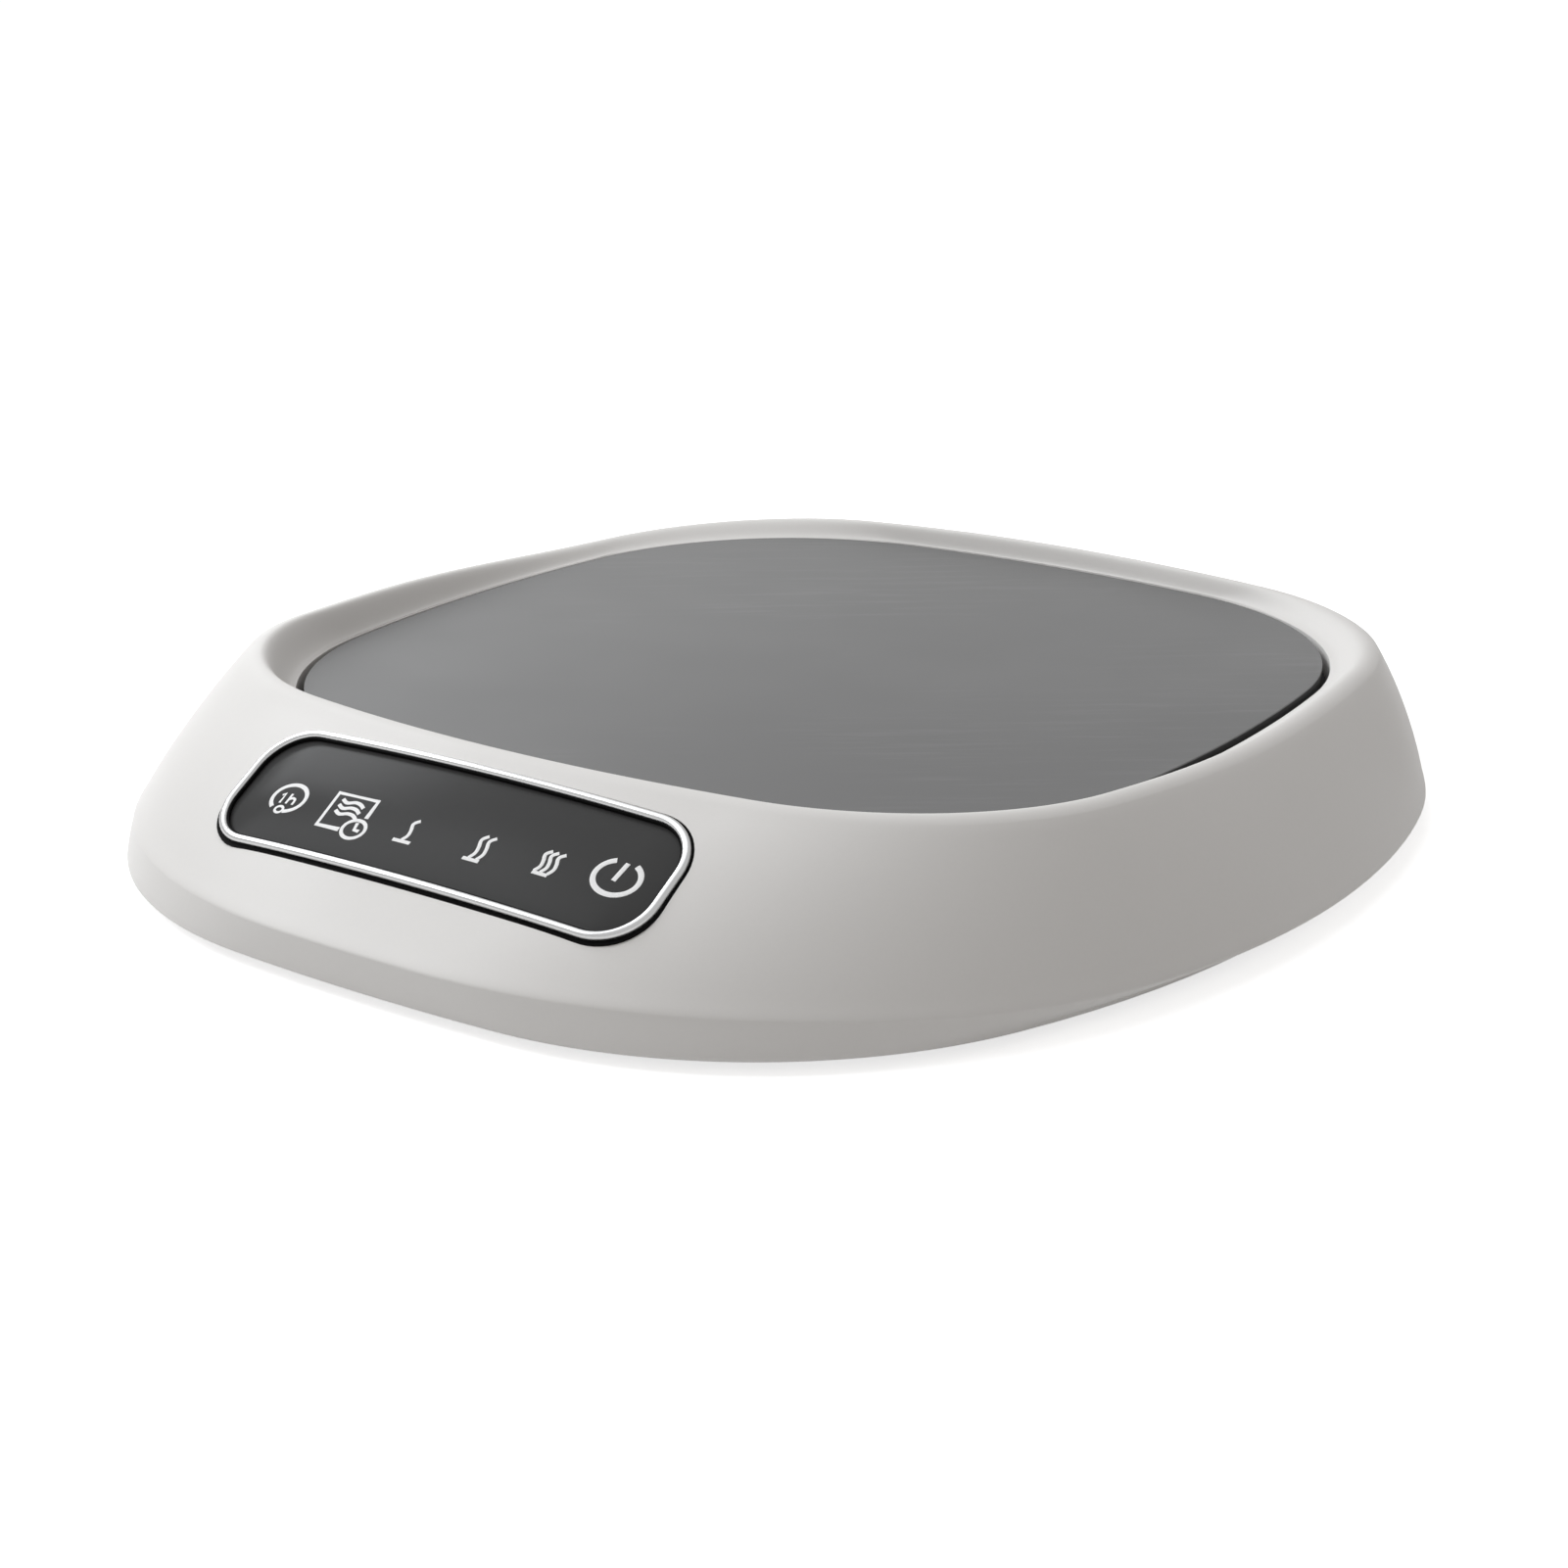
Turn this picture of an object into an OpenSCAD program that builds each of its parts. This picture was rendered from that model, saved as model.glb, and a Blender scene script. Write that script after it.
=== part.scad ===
// Electric mug warmer: low soft-cornered housing, a square heating plate that floats on four
// springs and closes a switch under a mug, and a touch panel on the sloping front.
// Millimetres. The origin lies under the middle of the housing, on the table. The front is -Y.

/* [Housing] */
// Width of the housing at its widest line
body_w = 130.5; // [118:0.5:143]
// Depth of the housing at its widest line
body_d = 140.75; // [130:0.25:152]
// Radius of the long curve of the left and right sides
body_side_r = 106; // [95:1:140]
// Radius of the long curve of the front and back
body_end_r = 260; // [200:10:320]
// Radius of the housing's corners at the widest line
body_corner_r = 56.5; // [52:0.5:58]
// Radius of the housing's corners at the bottom edge
base_corner_r = 45; // [42:0.5:50]
// How far the bottom edge lies inside the widest line at the sides and the back
tuck = 2.2; // [1.8:0.1:2.6]
// How far the bottom edge lies inside the widest line at the front
tuck_front = 0.5; // [0.4:0.1:1.2]
// Height of the bottom edge above the table
edge_h = 1.2; // [0.8:0.1:2]
// Height of the widest line above the bottom edge at the sides and the back
belly_h = 1.45; // [1.3:0.05:1.8]
// Rise of the widest line on the way to the front
belly_lift = 1.3; // [1:0.1:1.6]
// Height of the round shoulder above the widest line
shoulder_h = 0.25; // [0.2:0.05:0.5]
// Outward swell of the slope between shoulder and rim
swell = 0.3; // [0:0.1:0.6]
// Wall thickness of the housing, measured level
wall = 1.8; // [1.4:0.1:2.2]
// Extra level thickness of the front slope, behind the panel
front_extra = 2.8; // [2.4:0.1:3.4]

/* [Rim] */
// Height of the rim above the plate at the front
rim_front_h = 3.95; // [3.5:0.05:4.4]
// Height of the rim above the plate at the back
rim_back_h = 1.2; // [0.9:0.1:1.6]
// Level width from the opening to the top of the rim at the sides
rim_side_w = 2.75; // [2.4:0.05:3.2]
// Level width from the opening to the top of the rim at the front
rim_front_w = 1.25; // [1:0.05:1.6]
// Level width from the opening to the top of the rim at the back
rim_back_w = 1.4; // [1.2:0.1:2]
// Corner radius of the rim's top line
rim_corner_r = 29; // [27:0.5:31]
// Level width of the rounding outside the rim's top line
rim_round = 1.8; // [1.6:0.1:2.4]
// Thickness of the lip that hangs round the opening
lip_t = 1.6; // [1.2:0.1:2]

/* [Heating plate] */
// Level distance from the housing's widest line to the plate at the sides
side_margin = 15.25; // [14.75:0.25:16.25]
// Level distance from the housing's widest line to the plate at the front
front_margin = 24.25; // [23.75:0.25:25.5]
// Level distance from the housing's widest line to the plate at the back
back_margin = 14.4; // [14:0.2:15.2]
// Height of the plate's face above the table, with no mug on it
plate_h = 15; // [14.6:0.1:16]
// Thickness of the plate
plate_t = 2; // [2:0.1:2.6]
// Radius of the long curve of the plate's left and right edges
plate_side_r = 168; // [140:4:220]
// Radius of the long curve of the plate's front and back edges
plate_end_r = 160; // [130:5:200]
// Radius of the plate's corners
plate_corner_r = 32.5; // [29:0.5:34]
// Open gap between the plate and the housing
plate_gap = 0.6; // [0.5:0.05:0.9]
// Height and width of the step ground round the plate's top edge
plate_step = 0.3; // [0.2:0.05:0.5]

/* [Plate assembly] */
// Way that the plate goes down under a mug
travel = 0.8; // [0.5:0.05:0.9]
// Thickness of the aluminium spreader
spreader_t = 0.5; // [0.3:0.05:0.6]
// Thickness of the heating track
track_t = 0.3; // [0.2:0.05:0.4]
// Width of the heating track
track_w = 3.2; // [2:0.1:4]
// Distance of the track's turns from the plate's sides
track_in = 16; // [14:0.5:20]
// Distance of the track's first and last run from the plate's ends
track_end = 12.85; // [11:0.5:16]
// Runs of the track
track_n = 13; // [9:2:13]
// Thickness of the insulation pad
pad_t = 1.2; // [1:0.1:1.4]
// Thickness of the carrier's floor
carrier_t = 1.2; // [1:0.1:1.4]
// Width of the carrier's flange beyond the plate's edge
flange_w = 2.2; // [1.6:0.1:2.6]
// Distance of the guides from the plate's sides
guide_in_x = 14; // [13.5:0.25:15]
// Distance of the guides from the plate's front and back
guide_in_y = 15.25; // [14.5:0.25:16]
// Distance from the guides to the window in the carrier
window_in = 8; // [7:0.5:9]
// Diameter of the guide posts
post_d = 4; // [3.4:0.1:4.2]
// Outer diameter of the guide tubes
guide_d = 7.4; // [7:0.1:7.6]
// Running clearance round each guide post
guide_play = 0.3; // [0.2:0.05:0.4]
// Length of the guide tubes below the carrier
guide_l = 4.4; // [3.5:0.1:4.6]
// Distance of the plate screws from the plate's sides
plate_screw_in = 9; // [8:0.5:10]
// Distance of the plate screws in front of and behind the plate's middle
plate_screw_y = 14; // [10:1:20]

/* [Springs] */
// Wire of the springs
spring_wire = 0.8; // [0.6:0.05:0.85]
// Mean diameter of the springs
spring_d = 9.2; // [9:0.1:10]
// Curls of each spring
spring_turns = 4; // [3:1:4]

/* [Switch] */
// Length of the switch body
switch_l = 12.8; // [10:0.2:14]
// Width of the switch body
switch_w = 5.8; // [5:0.2:7]
// Height of the switch body
switch_h = 5; // [4.6:0.1:5.2]
// Distance of the switch from the plate's front
switch_in = 14.25; // [12:0.25:16]
// Diameter of the switch plunger
plunger_d = 2; // [1.6:0.1:2.4]
// Gap between the plunger and the carrier
plunger_gap = 0.3; // [0.2:0.05:0.4]

/* [Panel] */
// Length of the metal frame as a share of the housing's width
bezel_share = 0.412; // [0.38:0.002:0.42]
// Width of the metal frame as a share of the slope
bezel_rise = 0.67; // [0.6:0.01:0.68]
// Outer corner radius of the metal frame
bezel_r = 5.6; // [4:0.1:6.2]
// Width of the metal frame's bar
bezel_bar = 0.9; // [0.7:0.1:1.2]
// Height of the metal frame above the slope
bezel_h = 0.4; // [0.3:0.05:0.6]
// Share of the slope at which the panel's middle lies
panel_at = 0.63; // [0.6:0.01:0.64]
// Curve radius of the panel across the slope
panel_curve_r = 300; // [260:10:360]
// Thickness of the window
window_t = 1; // [0.8:0.1:1.2]
// Depth of the window's face below the slope
window_sink = 0.2; // [0:0.05:0.3]
// Thickness of the foam under the frame and the window
foam_t = 0.3; // [0.2:0.05:0.4]
// Distance of the light guide from the ends of the metal frame
block_in_x = 4; // [4:0.1:4.5]
// Distance of the light guide from the long sides of the metal frame
block_in_y = 2.85; // [2.6:0.05:3.2]
// Distance of the touch board's face below the slope
board_depth = 6; // [5.9:0.05:6.2]
// Distance of the touch board from the ends of the metal frame
touch_in_x = 1; // [1:0.1:1.4]
// Distance of the touch board from the long sides of the metal frame
touch_in_y = 2.3; // [2.2:0.05:2.6]
// Thickness of both circuit boards
board_t = 1; // [0.8:0.1:1.2]
// Distance of the touch screws from the ends of the touch board
touch_screw_in = 1.5; // [1.4:0.1:1.6]
// Diameter of the touch screws
touch_screw_d = 1.4; // [1.2:0.1:1.4]
// Distance from one symbol to the next, as a share of the metal frame's length
symbol_share = 0.15; // [0.14:0.005:0.15]

/* [Base] */
// Thickness of the base cover
base_t = 1.8; // [1.6:0.1:2]
// Height of the base cover's underside above the housing's bottom edge
base_rise = 0.2; // [0.1:0.05:0.4]
// Gap between the base cover and the housing
base_gap = 0.25; // [0.15:0.05:0.4]
// Width of the housing's bottom edge
edge_w = 2; // [1.8:0.1:2.4]
// Diameter of the rubber feet
foot_d = 11; // [9:0.5:12]
// Place of the feet left and right, as a share of the housing's half width
foot_share_x = 0.72; // [0.66:0.01:0.73]
// Place of the feet front and back, as a share of the housing's half depth
foot_share_y = 0.49; // [0.42:0.01:0.5]
// Depth of the feet's seats
foot_seat = 0.6; // [0.4:0.1:0.8]
// Place of the base screws left and right, as a share of the housing's half width
screw_share_x = 0.615; // [0.6:0.005:0.625]
// Place of the base screws front and back, as a share of the housing's half depth
screw_share_y = 0.735; // [0.73:0.005:0.74]
// Diameter of the screw bosses
boss_d = 6; // [5.4:0.2:6.4]
// Height of the screw bosses above the housing's widest line
boss_top = 5.9; // [5.6:0.1:6.2]
// Length of one vent slot
vent_l = 14; // [10:1:16]
// Width of one vent slot
vent_w = 1.8; // [1.4:0.2:2.2]
// Vent slots in each row
vent_n = 6; // [4:1:7]

/* [Power] */
// Length of the power board, left to right
power_l = 52; // [48:1:53]
// Width of the power board, front to back
power_w = 38; // [36:1:40]
// Height of the board's standoffs
standoff_h = 1.4; // [1:0.1:1.6]
// Diameter of the cord that the inlet takes
cord_d = 3.5; // [3:0.1:3.8]
// Height of the cord inlet above the table
inlet_h = 6.4; // [6.3:0.05:6.6]
// Outer diameter of the inlet's sleeve
sleeve_d = 5.4; // [5:0.1:5.6]
// Thickness of the inlet's two collars
collar_t = 1; // [0.8:0.1:1.2]
// Diameter of the supply leads
lead_d = 1.5; // [1.3:0.1:1.6]
// Distance from one supply lead to the other
lead_pitch = 6; // [5:0.2:6.4]
// Width of the power device
device_w = 10; // [9:0.5:10.5]
// Length of the power device with its metal tab
device_l = 15; // [13:0.5:16]
// Height of the power device
device_h = 3.2; // [2.8:0.1:3.3]
// Width of the flat lead
ribbon_w = 8; // [6:0.5:8]
// Thickness of the flat lead
ribbon_t = 0.3; // [0.2:0.05:0.35]

/* [Hidden] */
$fn = 48;

// Steps of one quarter of an outline: on the side curve, the corner and the end curve
side_n = 3;
corner_n = 14;
end_n = 3;
quarter_n = side_n + corner_n + end_n;
ring_n = 4 * quarter_n;

// Plate, guides, track, feet and screws, all placed from the housing's size
plate_w = body_w - 2 * side_margin;
plate_d = body_d - front_margin - back_margin;
plate_y = (front_margin - back_margin) / 2;
guide_x = plate_w / 2 - guide_in_x;
guide_y = plate_d / 2 - guide_in_y;
plate_screw_x = plate_w / 2 - plate_screw_in;
switch_y = plate_y - plate_d / 2 + switch_in;
track_l = plate_w - 2 * track_in;
track_pitch = (plate_d - 2 * track_end) / (track_n - 1);
foot_x = foot_share_x * body_w / 2;
foot_y = foot_share_y * body_d / 2;
screw_x = screw_share_x * body_w / 2;
screw_y = screw_share_y * body_d / 2;

// Heights of the stacked pieces
base_z = edge_h + base_rise;
floor_z = base_z + base_t;
belly_z = edge_h + belly_h;
plate_z = plate_h - plate_t;
spreader_z = plate_z - spreader_t;
track_z = spreader_z - track_t;
pad_z = track_z - pad_t;
carrier_z = pad_z - carrier_t;
lip_z = pad_z + 0.3;
board_z = floor_z + standoff_h;
parts_z = board_z + board_t;
post_top = carrier_z + 0.6 - travel - 0.3;
lead_z = parts_z + 1.3;
terminal_h = lead_z + 1.5 - floor_z;

// Places along the middle: power board, its lead socket, cord terminal and inlet wall
power_y = plate_y + 5;
socket_y = power_y + power_w / 2 - 1;
fuse_y = power_y - power_w / 2 + 7;
saddle_y = body_d / 2 - 10.6;
terminal_y = saddle_y - 11;

// A level section: half width, front and back reach, side, end and corner radius, height, share
// of the rim's fall from front to back, and rise towards the front
base_s = [
  body_w / 2 - tuck, body_d / 2 - tuck_front, body_d / 2 - tuck,
  body_side_r, body_end_r, base_corner_r, edge_h, 0, 0
];
belly_s = [
  body_w / 2, body_d / 2, body_d / 2, body_side_r, body_end_r, body_corner_r, belly_z, 0,
  belly_lift
];
plate_s = [
  plate_w / 2, plate_d / 2 - plate_y, plate_d / 2 + plate_y,
  plate_side_r, plate_end_r, plate_corner_r, plate_h, 0, 0
];
open_s = grown(plate_s, plate_gap, -0.2);
rim_s = [
  open_s[0] + rim_side_w, open_s[1] + rim_front_w, open_s[2] + rim_back_w,
  plate_side_r + rim_side_w, plate_end_r + rim_side_w, rim_corner_r,
  plate_h + (rim_front_h + rim_back_h) / 2, 1, 0
];
rim_fall = (rim_front_h - rim_back_h) / 2;
rim_reach = (rim_s[1] + rim_s[2]) / 2;
shoulder_s = at_height(belly_s, belly_z + shoulder_h);
slope_top = grown(rim_s, rim_round, -0.38 * rim_round);
slope_foot = mix(shoulder_s, slope_top, 0.07);

function mix(p, q, t) = (1 - t) * p + t * q;
function bent(p, q, r, t) = mix(mix(p, q, t), mix(q, r, t), t);
function grown(s, d, dz = 0) =
  [s[0] + d, s[1] + d, s[2] + d, s[3] + d, s[4] + d, s[5] + d, s[6] + dz, s[7], s[8]];
function at_height(s, z) = [s[0], s[1], s[2], s[3], s[4], s[5], z, s[7], s[8]];
function slope(t) =
  grown(mix(slope_foot, slope_top, t), 4 * swell * t * (1 - t), 2.4 * swell * t * (1 - t));
function slope_inside(t) =
  let (s = grown(slope(t), -wall, -0.6 * wall))
  [s[0], s[1] - front_extra * (1 - t * t * t), s[2], s[3], s[4], s[5], s[6], s[7], s[8]];
function cove(t) =
  let (s = mix(rim_s, open_s, t), g = (1 + cos(180 * t)) / 2)
  [s[0], s[1], s[2], s[3], s[4], s[5], mix(open_s[6], rim_s[6], g), g, 0];

// Middle of the corner arc of an outline, which touches the side and the end curve
function corner_mid(a, b, side_r, end_r, r) =
  let (
    p = [a - side_r, 0], q = [0, b - end_r], l = norm(q - p), u = (q - p) / l,
    d1 = side_r - r, d2 = end_r - r, t = (d1 * d1 - d2 * d2 + l * l) / (2 * l)
  ) p + t * u + sqrt(d1 * d1 - t * t) * [-u[1], u[0]];

// One quarter of an outline round its own middle
function quarter(a, b, side_r, end_r, r) =
  let (
    c = corner_mid(a, b, side_r, end_r, r),
    f1 = atan2(c[1], c[0] - a + side_r),
    f2 = atan2(c[1] - b + end_r, c[0])
  ) [for (i = [0:quarter_n])
    i < side_n
      ? let (f = f1 * i / side_n) [a - side_r + side_r * cos(f), side_r * sin(f)]
      : i > side_n + corner_n
        ? let (f = f2 + (90 - f2) * (i - side_n - corner_n) / end_n)
          [end_r * cos(f), b - end_r + end_r * sin(f)]
        : let (f = f1 + (f2 - f1) * (i - side_n) / corner_n) c + r * [cos(f), sin(f)]];

// Outline of a section as points, anticlockwise from the middle of the right side
function outline(s) =
  let (b = (s[1] + s[2]) / 2, m = (s[2] - s[1]) / 2, q = quarter(s[0], b, s[3], s[4], s[5]))
  [for (k = [0:ring_n - 1])
    let (
      n = floor(k / quarter_n), j = k % quarter_n, i = n % 2 == 0 ? j : quarter_n - j,
      x = (n == 0 || n == 3 ? 1 : -1) * q[i][0], y = (n < 2 ? 1 : -1) * q[i][1]
    ) [x, y + m]];
function raised(s, y) =
  let (k = (plate_y - y) / rim_reach) s[6] + s[7] * rim_fall * k + s[8] * pow(max(0, k), 2);
function ring(s) = [for (p = outline(s)) [p[0], p[1], raised(s, p[1])]];

// Point and angle of the slope at the middle of the front
function front_point(t) =
  let (s = slope(t)) [-s[1], raised(s, -s[1])];
panel_mid = front_point(panel_at);
panel_run = front_point(panel_at + 0.2) - front_point(panel_at - 0.2);
panel_tilt = atan2(panel_run[1], panel_run[0]);
floor_depth = window_sink + window_t + foam_t;
bezel_l = round(100 * bezel_share * body_w) / 100;
bezel_w = round(100 * bezel_rise * norm(front_point(1) - front_point(0))) / 100;
block_l = bezel_l - 2 * block_in_x;
block_w = bezel_w - 2 * block_in_y;
touch_l = bezel_l - 2 * touch_in_x;
touch_w = bezel_w - 2 * touch_in_y;
symbol_pitch = symbol_share * bezel_l;

// Solid through closed rings, the last of which meets the first
module looped(sections) {
  m = len(sections);
  polyhedron(
    points = [for (s = sections) each ring(s)],
    faces = [for (i = [0:m - 1], k = [0:ring_n - 1])
      let (
        a = i * ring_n + k, b = i * ring_n + (k + 1) % ring_n,
        c = ((i + 1) % m) * ring_n + k, d = ((i + 1) % m) * ring_n + (k + 1) % ring_n
      ) each [[a, c, b], [b, c, d]]]
  );
}

// Flat piece with the outline of a section
module slab(s, z, t) {
  translate([0, 0, z]) linear_extrude(t) polygon(outline(s));
}

module round_rect(l, w, r) {
  square([l - 2 * r, w], center = true);
  square([l, w - 2 * r], center = true);
  for (x = [-1, 1], y = [-1, 1]) translate([x * (l / 2 - r), y * (w / 2 - r)]) circle(r);
}

module four(x, y, mid = 0) {
  for (i = [-1, 1], j = [-1, 1]) translate([i * x, mid + j * y, 0]) children();
}

// The panel's own frame: X along the housing, Y up the slope, Z out of it
module on_slope() {
  translate([0, panel_mid[0], panel_mid[1]]) rotate([panel_tilt, 0, 0]) children();
}

module at_touch_screws() {
  on_slope() for (i = [-1, 1]) translate([i * (touch_l / 2 - touch_screw_in), 0, 0]) children();
}

// Everything that lies more than a depth below the panel's curved face
module under_curve(depth) {
  translate([0, 0, -panel_curve_r]) rotate([90, 0, 0])
    cylinder(r = panel_curve_r - depth, h = 3 * bezel_w, center = true, $fn = 360);
}

// Curved plate between two depths below the slope
module curved(l, w, r, top, bottom) {
  difference() {
    intersection() {
      translate([0, 0, -bottom - 4]) linear_extrude(bottom + 8) round_rect(l, w, r);
      under_curve(top);
    }
    under_curve(bottom);
  }
}

module shell_skin() {
  looped([
    grown(base_s, -edge_w),
    grown(base_s, -0.5),
    grown(base_s, 0, 0.45),
    bent(grown(base_s, 0, 0.45), at_height(belly_s, edge_h + 1.2), belly_s, 0.35),
    bent(grown(base_s, 0, 0.45), at_height(belly_s, edge_h + 1.2), belly_s, 0.7),
    for (t = [0, 0.35, 0.7]) bent(belly_s, shoulder_s, slope_foot, t),
    for (t = [0, 0.15, 0.3, 0.45, 0.6, 0.75, 0.9]) slope(t),
    for (t = [0, 0.33, 0.67]) bent(slope_top, grown(rim_s, rim_round / 2), rim_s, t),
    for (t = [0, 0.2, 0.4, 0.6, 0.8]) cove(t),
    grown(open_s, 0.2),
    grown(open_s, 0, -0.2),
    at_height(open_s, lip_z),
    at_height(grown(open_s, lip_t), lip_z),
    at_height(grown(open_s, lip_t), plate_h - 1.4),
    for (t = [0.85, 0.65, 0.45, 0.25, 0.08]) slope_inside(t),
    grown(base_s, -edge_w, base_rise + base_t + 0.3)
  ]);
}

module top_shell() {
  color("gainsboro") difference() {
    union() {
      shell_skin();
      four(screw_x, screw_y)
        translate([0, 0, floor_z]) cylinder(d = boss_d, h = belly_z + boss_top - floor_z);
      at_touch_screws() translate([0, 0, -board_depth]) cylinder(d = 3.4, h = board_depth - 2.9);
    }
    at_touch_screws() translate([0, 0, -board_depth - 1])
      cylinder(d = touch_screw_d + 0.1, h = board_depth - 2);
    on_slope() {
      difference() {
        translate([0, 0, -6]) linear_extrude(12)
          round_rect(bezel_l + 0.3, bezel_w + 0.3, bezel_r + 0.15);
        under_curve(floor_depth);
      }
      translate([0, 0, -10]) linear_extrude(12)
        round_rect(block_l + 0.5, block_w + 0.5, 1.25);
    }
    four(screw_x, screw_y)
      translate([0, 0, floor_z - 1]) cylinder(d = 2.5, h = 5.2);
    translate([0, saddle_y - 1, inlet_h]) rotate([-90, 0, 0])
      cylinder(d = sleeve_d + 0.6, h = body_d - saddle_y);
  }
}

module panel_bezel() {
  color("silver") on_slope() difference() {
    curved(bezel_l, bezel_w, bezel_r, -bezel_h, floor_depth - foam_t);
    translate([0, 0, -8]) linear_extrude(16)
      round_rect(bezel_l - 2 * bezel_bar, bezel_w - 2 * bezel_bar, bezel_r - bezel_bar);
  }
}

module touch_panel() {
  l = bezel_l - 2 * bezel_bar - 0.1;
  w = bezel_w - 2 * bezel_bar - 0.1;
  color("dimgray") on_slope()
    curved(l, w, bezel_r - bezel_bar - 0.05, window_sink, floor_depth - foam_t);
}

module panel_gasket() {
  color("black") on_slope() difference() {
    curved(bezel_l, bezel_w, bezel_r, floor_depth - foam_t, floor_depth);
    translate([0, 0, -8]) linear_extrude(16)
      round_rect(block_l + 0.5, block_w + 0.5, 1.25);
  }
}

module light_guide() {
  color("white") on_slope() difference() {
    intersection() {
      translate([0, 0, -board_depth]) linear_extrude(board_depth)
        round_rect(block_l, block_w, 1);
      under_curve(floor_depth - foam_t + 0.02);
    }
    for (i = [-2.5:2.5])
      translate([i * symbol_pitch, 0, -board_depth - 1]) linear_extrude(2)
        round_rect(4.4, 4.4, 0.8);
  }
}

module touch_board() {
  color("darkgreen") difference() {
    on_slope() translate([0, 0, -board_depth - board_t]) linear_extrude(board_t)
      round_rect(touch_l, touch_w, 1);
    at_touch_screws() translate([0, 0, -board_depth - board_t - 1])
      cylinder(d = touch_screw_d + 0.3, h = 3);
  }
}

module indicator_lights() {
  color("ivory") on_slope()
    for (i = [-2.5:2.5])
      translate([i * symbol_pitch - 0.8, -0.4, -board_depth]) cube([1.6, 0.8, 0.6]);
}

module base_cover() {
  s = grown(base_s, -edge_w - base_gap);
  color("gray") difference() {
    union() {
      slab(s, base_z, base_t);
      four(guide_x, guide_y, plate_y)
        translate([0, 0, floor_z]) cylinder(d = post_d, h = post_top - floor_z);
      four(power_l / 2 - 3, power_w / 2 - 3, power_y)
        translate([0, 0, floor_z]) cylinder(d = 4.4, h = standoff_h);
      saddle();
      four(switch_l / 2 - 1.5, switch_w / 2 + 0.7, switch_y)
        translate([-1, -0.6, floor_z]) cube([2, 1.2, 2.4]);
    }
    four(foot_x, foot_y)
      translate([0, 0, base_z - 1]) cylinder(d = foot_d + 0.4, h = 1 + foot_seat);
    four(screw_x, screw_y) {
      translate([0, 0, base_z - 1]) cylinder(d = 2.8, h = 6);
      translate([0, 0, base_z - 1]) cylinder(d = 5.2, h = 1.9);
    }
    four(power_l / 2 - 3, power_w / 2 - 3, power_y)
      translate([0, 0, base_z + 0.9]) cylinder(d = 1.8, h = 6);
    for (i = [0:vent_n - 1], j = [-1, 1])
      translate([
        (i - (vent_n - 1) / 2) * 2.4 * vent_w, power_y + j * (vent_l / 2 + 1.5), base_z - 1
      ]) linear_extrude(base_t + 2) round_rect(vent_w, vent_l, vent_w / 2 - 0.01);
  }
}

// Upright wall with the round seat that the inlet's groove grips
module saddle() {
  translate([-6, saddle_y, floor_z]) difference() {
    cube([12, 1.6, inlet_h + sleeve_d / 2 + 0.7 - floor_z]);
    translate([6, -1, inlet_h - floor_z]) rotate([-90, 0, 0]) cylinder(d = sleeve_d + 0.1, h = 4);
  }
}

module cord_gland() {
  color("darkslategray") translate([0, saddle_y, inlet_h]) rotate([-90, 0, 0]) difference() {
    union() {
      translate([0, 0, -1.3]) cylinder(d = sleeve_d, h = body_d / 2 + 0.8 - saddle_y);
      translate([0, 0, -0.1 - collar_t]) cylinder(d = sleeve_d + 0.5, h = collar_t);
      translate([0, 0, 1.7]) cylinder(d = sleeve_d + 0.5, h = collar_t);
    }
    translate([0, 0, -3]) cylinder(d = cord_d + 0.1, h = body_d);
  }
}

module cord_terminal() {
  color("white") translate([0, terminal_y, floor_z]) difference() {
    translate([-lead_pitch, 0, 0]) cube([2 * lead_pitch, 8, terminal_h]);
    for (x = [-0.5, 0.5] * lead_pitch) {
      for (y = [-1, 6])
        translate([x, y, lead_z - floor_z]) rotate([-90, 0, 0]) cylinder(d = lead_d + 0.2, h = 3);
      translate([x, 4, terminal_h - 1.5]) cylinder(d = 2.6, h = 3);
    }
  }
}

module terminal_screws() {
  color("goldenrod") for (x = [-0.5, 0.5] * lead_pitch)
    translate([x, terminal_y + 4, floor_z + terminal_h - 1.5]) difference() {
      cylinder(d = 2.5, h = 1.2);
      translate([-2, -0.25, 0.8]) cube([4, 0.5, 1]);
    }
}

module supply_leads() {
  color("firebrick") for (x = [-0.5, 0.5] * lead_pitch)
    translate([x, socket_y - 1.8, lead_z]) rotate([-90, 0, 0])
      cylinder(d = lead_d, h = terminal_y + 1.6 - socket_y + 1.6);
}

module lead_socket() {
  color("white") translate([0, socket_y, parts_z]) difference() {
    translate([0.5 - lead_pitch, -6, 0]) cube([2 * lead_pitch - 1, 6, 3]);
    for (x = [-0.5, 0.5] * lead_pitch)
      translate([x, -2, lead_z - parts_z]) rotate([-90, 0, 0]) cylinder(d = lead_d + 0.2, h = 3);
  }
}

module feet() {
  color("dimgray") four(foot_x, foot_y) cylinder(d = foot_d, h = base_z + foot_seat);
}

module base_screws() {
  color("silver") four(screw_x, screw_y) difference() {
    union() {
      translate([0, 0, base_z + 0.1]) cylinder(d = 4.8, h = 0.8);
      translate([0, 0, base_z + 0.1]) cylinder(d = 2.4, h = 5.6);
    }
    for (a = [0, 90])
      rotate([0, 0, a]) translate([-1.3, -0.25, base_z - 0.4]) cube([2.6, 0.5, 0.9]);
  }
}

module touch_screws() {
  color("silver") at_touch_screws() translate([0, 0, -board_depth - board_t - 0.7]) {
    cylinder(d = touch_screw_d + 1.2, h = 0.7);
    cylinder(d = touch_screw_d, h = board_t + 3.2);
  }
}

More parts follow.
